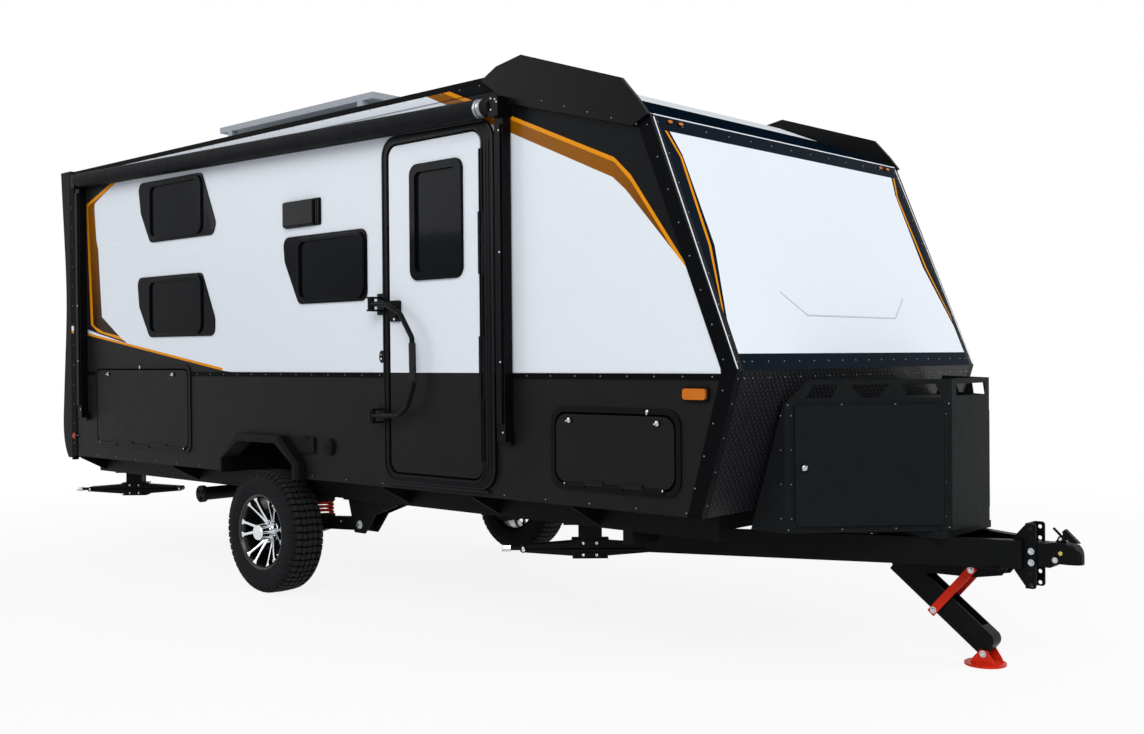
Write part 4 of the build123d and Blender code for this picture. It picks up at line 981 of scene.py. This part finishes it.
class TRAILER_OT_door_fittings(bpy.types.Operator):
    """Adds the door frame's mouldings, the lock, the latch's key and the handle's grip"""
    bl_idname = "trailer.door_fittings"
    bl_label = "Door fittings"

    def execute(self, context):
        lip = drawn_plate(on_side(rounded(260.5, 1144.5, 770.5, 2669.5, 110, 9), -1176),
                          (0, -0.004, 0), ring=0.009)
        inner = drawn_plate(on_side(rounded(294, 1068, 804, 2636, 80, 9), -1176),
                            (0, -0.003, 0), ring=0.006)
        settle("door_frame_lips", joined([lip, inner]), "trim_light", smooth=30)
        beads = [strip((x, -1176, 884), (x, -1176, 2556), (0, -1, 0), w, 3)
                 for x, w in ((1088, 7), (1112, 4))]
        settle("door_frame_beads", joined(beads), "trim_light")
        sill = strip((312, -1160, 762), (1092, -1160, 762), (0, -1, 0), 15, 18)
        settle("door_sill", sill, "trim_light")
        oval = stud((227, -1160, 1460), (0, -1, 0), 35, 6, 28, 0.35)
        pick(oval)
        bpy.ops.object.transform_apply(location=True, rotation=True, scale=True)
        bpy.ops.object.mode_set(mode="EDIT")
        bpy.ops.mesh.select_all(action="SELECT")
        bpy.ops.transform.resize(value=(0.62, 1, 1), center_override=(0.227, -1.16, 1.46))
        bpy.ops.object.mode_set(mode="OBJECT")
        settle("wall_lock_plate", oval, "plastic", smooth=30)
        keys = [stud((227, -1166, z), (0, -1, 0), r, 2, 14, 0.3) for z, r in ((1472, 4), (1448, 6))]
        settle("wall_lock_keys", joined(keys), "zinc", smooth=30)
        key = stud((367, -1186, 1666), (0, -1, 0), 8, 3, 18, 0.3)
        settle("latch_key", key, "zinc", "entry_door", 30)
        grip = [(19.6 if k % 2 else 18.6, k * 8.6) for k in range(25)]
        sleeve = turned([(17.5, 0), *grip, (17.5, grip[-1][1])], 20)
        pick(sleeve)
        # the ends of the bar's lower half
        low, high = Vector((575.8, -1234, 1326)), Vector((571.6, -1234, 1540))
        set_frame(sleeve, low * MM, (0, -1, 0), Vector((0, -1, 0)).cross(high - low))
        settle("handle_grip", sleeve, "grip_rubber", "handle", 30)
        return {"FINISHED"}


def tee_lock(place, out, along):
    """A turning lock: its round escutcheon and the bar that the fingers hold."""
    p, o, a = Vector(place), Vector(out), Vector(along).normalized()
    plate = stud(p, out, 12, 4, 20, 0.35, along)
    bar = strip(p + o * 3.5 - a * 15, p + o * 3.5 + a * 15, out, 8, 7)
    return joined([plate, bar])


class TRAILER_OT_cargo_fittings(bpy.types.Operator):
    """Adds the locks, catches and hinge ends of the cargo doors and the storage doors"""
    bl_idname = "trailer.cargo_fittings"
    bl_label = "Cargo fittings"

    def execute(self, context):
        for word, side in (("near", NEAR), ("far", FAR)):
            for hatch, spots in (("rear", ((-2898, 1354), (-1998, 1354))),
                                 ("front", ((1651, 1146), (2190, 1146)))):
                locks = [tee_lock((x, side * 1175, z), (0, side, 0), (1, 0, 0.3)) for x, z in spots]
                settle(f"{hatch}_hatch_locks_{word}", joined(locks), "zinc",
                       f"{hatch}_hatch_{word}", 30)
        catches = []
        for x, z in ((-2448, 1407), (2128, 1199)):
            catches.append(stud((x, -1168, z), (0, -1, 0), 8, 5, 16, 0.3))
            catches.append(strip((x, -1168, z - 2), (x, -1168, z - 15), (0, -1, 0), 8, 6))
        for x0, x1, z in ((-3030, -1866, 857), (1624, 2217, 843)):
            for x, way in ((x0, -1), (x1, 1)):
                catches.append(stud((x, -1174, z), (way, 0, 0), 5.5, 6, 12, 0.3, (0, 0, 1)))
        settle("hatch_catches", on_both_sides(joined(catches)), "zinc", smooth=30)
        lock = tee_lock(on_slant(84, 937.5, 23.5), SLANT_OUT, Vector((0, 0, 1)) + SLANT * 1.2)
        settle("box_lock_near", copied(lock, Matrix.Identity(4)), "zinc", "box_door_near", 30)
        pick(lock)
        bpy.ops.object.transform_apply(location=True, rotation=True, scale=True)
        lock.scale = (1, -1, 1)
        bpy.ops.object.transform_apply(location=True, rotation=True, scale=True)
        bpy.ops.object.mode_set(mode="EDIT")
        close_up()
        settle("box_lock_far", lock, "zinc", "box_door_far", 30)
        return {"FINISHED"}


class TRAILER_OT_awning_fittings(bpy.types.Operator):
    """Adds the awning roll's bright end rings, its cloth edge and the arms' rails and screws"""
    bl_idname = "trailer.awning_fittings"
    bl_label = "Awning fittings"

    def execute(self, context):
        plain = [(40, 1), (49, 1), (49.6, 4), (49.6, 12), (47, 15), (40, 15)]
        ribbed = [(38, 19), (46, 19), (47, 22), (44.5, 25), (46.5, 28), (44.5, 31), (46.5, 34),
                  (44.5, 37), (46, 40), (45, 46), (38, 46)]
        ring = joined([turned(profile, 40) for profile in (plain, ribbed)])
        axis = Vector((4288, 0, -82)).normalized()
        set_frame(ring, Vector((1108, -1236, 2704)) * MM, (0, 0, 1), Vector((0, 0, 1)).cross(axis))
        settle("awning_end_rings", ring, "worn_silver", smooth=35)
        rails, screws = [], []
        for x, top, marks in ((-3242, 2700, (2680, 1860, 1451, 1091)),
                              (1238, 2610, (2580, 1974, 1427, 1075))):
            for shift in (-26, 26):
                rails.append(strip((x + shift, -1224, 1092), (x + shift, -1224, top), (0, -1, 0),
                                   6, 3))
            for z in marks:
                screws.append(stud((x + 12, -1238 if 1120 < z < 2600 else -1224, z), (0, -1, 0), 5,
                                   3, 10, 0.4))
        for z, x in ((2738, 1222), (2682, 1222), (2730, 1252), (2716, 1262)):
            screws.append(stud((x, -1262, z), (0, -1, 0), 5, 3, 10, 0.4))
        settle("awning_arm_rails", joined(rails), "trim_light")
        settle("awning_screws", joined(screws), "zinc", smooth=40)
        hem = strip((-3170, -1194, 2741), (1096, -1194, 2659), (0, -0.55, -0.84), 12, 5)
        settle("awning_hem", hem, "trim_light")
        return {"FINISHED"}


LAMP_Z = 2524                           # the clearance lamps over the nose


class TRAILER_OT_lamps(bpy.types.Operator):
    """Adds the side marker's bezel, the clearance lamps over the nose and the red markers"""
    bl_idname = "trailer.lamps"
    bl_label = "Lamps"

    def execute(self, context):
        bezel = drawn_plate(on_side(rounded(2331, 2473, 1247, 1316, 18), -1160), (0, -0.013, 0),
                            ring=0.009)
        modify(bezel, "BEVEL", width=0.003, segments=2, limit_method="ANGLE",
               angle_limit=math.radians(50))
        settle("marker_bezels", on_both_sides(bezel), "plastic", smooth=35)
        lamps, bases = [], []
        outline = [(x * MM, y * MM, 0) for x, y in rounded(-14, 14, -7, 7, 5, 3)]
        for y in (-1029, -948, 948, 1029):
            for group, grow, height in ((bases, 1.25, 0.004), (lamps, 1.0, 0.010)):
                pad = drawn_plate([(px * grow, py * grow, pz) for px, py, pz in outline],
                                  (0, 0, height))
                modify(pad, "BEVEL", width=0.002, segments=2, limit_method="ANGLE",
                       angle_limit=math.radians(50))
                group.append(set_frame(pad, Vector((front_x(LAMP_Z), y, LAMP_Z)) * MM, (0, 1, 0),
                                       FRONT_OUT))
        settle("clearance_lamps", joined(lamps), "amber", smooth=35)
        settle("clearance_bases", joined(bases), "plastic", smooth=35)
        red = stud((-3438, -1167, 886), (0, -1, 0), 22, 15, 24, 0.35)
        settle("rear_markers", on_both_sides(red), "ruby", smooth=35)
        ring = stud((-3438, -1167, 886), (0, -1, 0), 28, 5, 24, 0.3)
        pin = stud((-3400, -1160, 889), (0, -1, 0), 4, 10, 10, 0.3)
        settle("rear_marker_bases", on_both_sides(ring), "plastic", smooth=35)
        settle("rear_marker_pins", on_both_sides(pin), "zinc", smooth=35)
        return {"FINISHED"}


class TRAILER_OT_tongue_fittings(bpy.types.Operator):
    """Adds the nuts of the hitch, coupler, struts and foot"""
    bl_idname = "trailer.tongue_fittings"
    bl_label = "Tongue fittings"

    def execute(self, context):
        nuts = []
        for x, y, z, r, h in ((3438, 55, 506, 11, 13), (3438, 55, 557, 11, 13),
                              (3542, 46, 527, 9, 8), (3154, 56, 442, 12, 10),
                              (2966, 56, 231, 12, 10), (3208, 51, 58, 12, 9)):
            nuts.append(stud((x, -y, z), (0, -1, 0), r + 4, 2, 20, 0.3))
            nuts.append(stud((x, -y - 2, z), (0, -1, 0), r, h - 1, 6, 0.2, (0.9, 0, 0.3)))
        settle("tongue_nuts", on_both_sides(joined(nuts)), "zinc", smooth=25)
        gold = stud((3567, -45, 560), (0, -1, 0), 11, 8, 6, 0.25)
        settle("coupler_lock_bolt", on_both_sides(gold), "yellow_zinc", smooth=25)
        pivot = stud((3555, -16, 618), (0, -1, 0), 8, 5, 14, 0.3)
        settle("lever_pivot", on_both_sides(pivot), "zinc", smooth=35)
        return {"FINISHED"}


class TRAILER_OT_underside(bpy.types.Operator):
    """Adds the spring boots, the pivot bushes and the stabilisers' bolts"""
    bl_idname = "trailer.underside"
    bl_label = "Underside fittings"

    def execute(self, context):
        waves = [(66 if k % 2 else 60, 560 + k * 6.3) for k in range(7)]
        boot = turned([(59, 560), *waves[1:], (59, 598)], 32)
        set_frame(boot, Vector((-725, -860, 0)) * MM, (1, 0, 0), (0, -1, 0))
        settle("spring_boots", on_both_sides(boot), "grip_rubber", smooth=30)
        bush = turned([(24, -906), (35, -906), (37, -903), (37, -893), (35, -890.5), (24, -890.5)],
                      32)
        bush.location = (-0.305, 0, 0.450)
        settle("pivot_bushes", on_both_sides(bush), "red", smooth=30)
        bolts = [stud((-305, -916, 450), (0, -1, 0), 27, 3, 24, 0.3),
                 stud((-305, -919, 450), (0, -1, 0), 21, 9, 6, 0.2),
                 stud((-520, -890, 452), (0, -1, 0), 8, 8, 6, 0.2),
                 stud((-1475, -955, 640), (0, -1, 0), 9, 5, 6, 0.2)]
        turn = Matrix.Rotation(math.radians(42), 4, "Z")
        for x in (1468, -3165):
            centre = Vector((x, -822, 474))
            for dx in (-34, 34):
                for dz in (-30, 30):
                    bolts.append(stud(centre + turn @ Vector((dx, -46, dz)),
                                      turn @ Vector((0, -1, 0)), 9, 6, 12, 0.4))
            for end in (-340, 340):
                bolts.append(stud(centre + turn @ Vector((end, -44, 0)), turn @ Vector((0, -1, 0)),
                                  13, 5, 16, 0.3))
            bolts.append(stud(centre + turn @ Vector((-407, 0, 0)), turn @ Vector((-1, 0, 0)), 18,
                              44, 6, 0.12, (0, 0, 1)))
        settle("underside_bolts", on_both_sides(joined(bolts)), "zinc", smooth=25)
        return {"FINISHED"}


class TRAILER_OT_wall_fittings(bpy.types.Operator):
    """Adds the vent's bright edge, the waste cap's grips and the inlets' hinges"""
    bl_idname = "trailer.wall_fittings"
    bl_label = "Wall fittings"

    def execute(self, context):
        arc = [(-366, 2392), (-361, 2360), (-359, 2321), (-361, 2282), (-366, 2250)]
        lines = [strip((xa, -1166, za), (xb, -1166, zb), (0, -1, 0), 4, 4)
                 for (xa, za), (xb, zb) in zip(arc, arc[1:])]
        settle("vent_bright_edge", joined(lines), "chrome")
        caps = [strip((-552, -1174, 894), (-408, -1174, 894), (0, -1, 0), 7, 5),
                strip((-500, -1174, 982), (-460, -1174, 982), (0, -1, 0), 9, 7),
                stud((-258, -1176, 936), (0, -1, 0), 41, 6, 32, 0.3),
                strip((-286, -1182, 936), (-230, -1182, 936), (0, -1, 0), 12, 6)]
        settle("inlet_details", joined(caps), "plastic", smooth=30)
        grips = [strip((-1870 + 44 * math.cos(a), -1050, 540 + 44 * math.sin(a)),
                       (-1870 + 18 * math.cos(a), -1050, 540 + 18 * math.sin(a)), (0, -1, 0),
                       12, 9) for a in (math.radians(30 + 120 * k) for k in range(3))]
        settle("waste_cap_grips", joined(grips), "plastic", smooth=30)
        return {"FINISHED"}


CAMERA_PLACE = Vector((5.658, -5.540, 1.449))
CAMERA_YAW, CAMERA_DIP, CAMERA_ROLL = (math.radians(a) for a in (42.38, 0.46, -0.49))
FOCAL_PIXELS, PHOTO_WIDTH, SENSOR = 1235.0, 1144.0, 36.0


def aim_camera():
    """The camera where the photograph was taken."""
    forward = Vector((-math.sin(CAMERA_YAW) * math.cos(CAMERA_DIP),
                      math.cos(CAMERA_YAW) * math.cos(CAMERA_DIP), -math.sin(CAMERA_DIP)))
    level = Vector((math.cos(CAMERA_YAW), math.sin(CAMERA_YAW), 0))
    upright = level.cross(forward)
    right = math.cos(CAMERA_ROLL) * level + math.sin(CAMERA_ROLL) * upright
    up = -math.sin(CAMERA_ROLL) * level + math.cos(CAMERA_ROLL) * upright
    bpy.ops.object.camera_add()
    camera = bpy.context.object
    turn = Matrix((right, up, -forward)).transposed().to_4x4()
    camera.matrix_world = Matrix.Translation(CAMERA_PLACE) @ turn
    camera.data.sensor_width = SENSOR
    camera.data.lens = FOCAL_PIXELS / PHOTO_WIDTH * SENSOR
    camera.data.clip_end = 200
    bpy.context.scene.camera = camera


def seen_share(tree, share):
    """share for rays from the camera, a mirror or glass, and none for the light on the trailer."""
    ends = add_node(tree, "LightPath").node.outputs
    seen = gathered(tree, "MAXIMUM", *(ends[f"Is {kind} Ray"]
                                       for kind in ("Camera", "Glossy", "Transmission")))
    return gathered(tree, "MULTIPLY", seen, share)


def soft_lamp(place, target, size, power):
    bpy.ops.object.light_add(type="AREA", location=place)
    lamp = bpy.context.object
    lamp.rotation_euler = (Vector(target) - Vector(place)).to_track_quat("-Z", "Y").to_euler()
    lamp.data.shape = "RECTANGLE"
    lamp.data.size, lamp.data.size_y = size
    lamp.data.energy = power


class TRAILER_OT_stage(bpy.types.Operator):
    """Sets up the floor, the soft light and the camera"""
    bl_idname = "trailer.stage"
    bl_label = "Stage"

    def execute(self, context):
        context.scene.view_settings.view_transform = "Standard"
        floor = new_piece("plane", size=160, location=(0, 0, -0.001))
        floor.name = "studio_floor"
        material, tree, shader = finish("studio_floor", roughness=0.9)
        place = position_mm(tree)[0]
        feed(tree, shader, Base_Color=tinted(tree, paint("f2f2f2"), place, 4000.0, 0.005))
        glow = add_node(tree, "Emission", {"Color": (1, 1, 1, 1), "Strength": 1.0})
        away = add_node(tree, "VectorMath", (place,), operation="LENGTH")
        share = add_node(tree, "MapRange", (away, 3800.0, 8000.0, 0.88, 1.0))
        mixed = add_node(tree, "MixShader", (seen_share(tree, share), shader.outputs[0], glow))
        tree.links.new(mixed, tree.nodes["Material Output"].inputs[0])
        floor.data.materials.append(material)

        world = bpy.data.worlds.new("studio_air")
        context.scene.world = world
        world.use_nodes = True
        sky = world.node_tree
        light, white = (add_node(sky, "Background", {"Color": paint(code), "Strength": strength})
                        for code, strength in (("e4ebf5", 0.42), ("ffffff", 1.0)))
        both = add_node(sky, "MixShader", (seen_share(sky, 1.0), light, white))
        sky.links.new(both, sky.nodes["World Output"].inputs[0])
        soft_lamp((6.0, -8.0, 7.5), (0.5, 0, 1.2), (6.0, 5.0), 520)
        soft_lamp((9.0, 3.0, 5.0), (1.5, 0, 1.5), (5.0, 4.0), 260)
        soft_lamp((-7.0, -7.0, 5.0), (-1.5, 0, 1.2), (5.0, 4.0), 170)
        soft_lamp((-4.0, 8.0, 6.0), (0, 0, 1.5), (6.0, 5.0), 190)
        aim_camera()
        return {"FINISHED"}


class TRAILER_PT_panel(bpy.types.Panel):
    """Lists the trailer's steps"""
    bl_idname = "TRAILER_PT_panel"
    bl_label = "Travel trailer"
    bl_space_type = "VIEW_3D"
    bl_region_type = "UI"
    bl_category = "Trailer"

    def draw(self, context):
        for settings in (context.scene.trailer_colours, context.scene.trailer_sizes):
            for name in settings.bl_rna.properties.keys():
                if name not in ("rna_type", "name"):
                    self.layout.prop(settings, name)
        for step in STEPS:
            self.layout.operator(step.bl_idname)


STEPS = [TRAILER_OT_finishes, TRAILER_OT_tyres, TRAILER_OT_alloys, TRAILER_OT_nose_trims,
         TRAILER_OT_rivets, TRAILER_OT_door_fittings, TRAILER_OT_cargo_fittings,
         TRAILER_OT_awning_fittings, TRAILER_OT_wall_fittings, TRAILER_OT_lamps,
         TRAILER_OT_tongue_fittings, TRAILER_OT_underside, TRAILER_OT_stage]
CLASSES = [TrailerColours, TrailerSizes, *STEPS, TRAILER_PT_panel]


def register():
    for item in CLASSES:
        bpy.utils.register_class(item)
    bpy.types.Scene.trailer_colours = PointerProperty(type=TrailerColours)
    bpy.types.Scene.trailer_sizes = PointerProperty(type=TrailerSizes)


def unregister():
    del bpy.types.Scene.trailer_sizes
    del bpy.types.Scene.trailer_colours
    for item in reversed(CLASSES):
        bpy.utils.unregister_class(item)


def main():
    register()
    for step in STEPS:
        group, name = step.bl_idname.split(".")
        getattr(getattr(bpy.ops, group), name)()


if __name__ == "__main__":
    main()
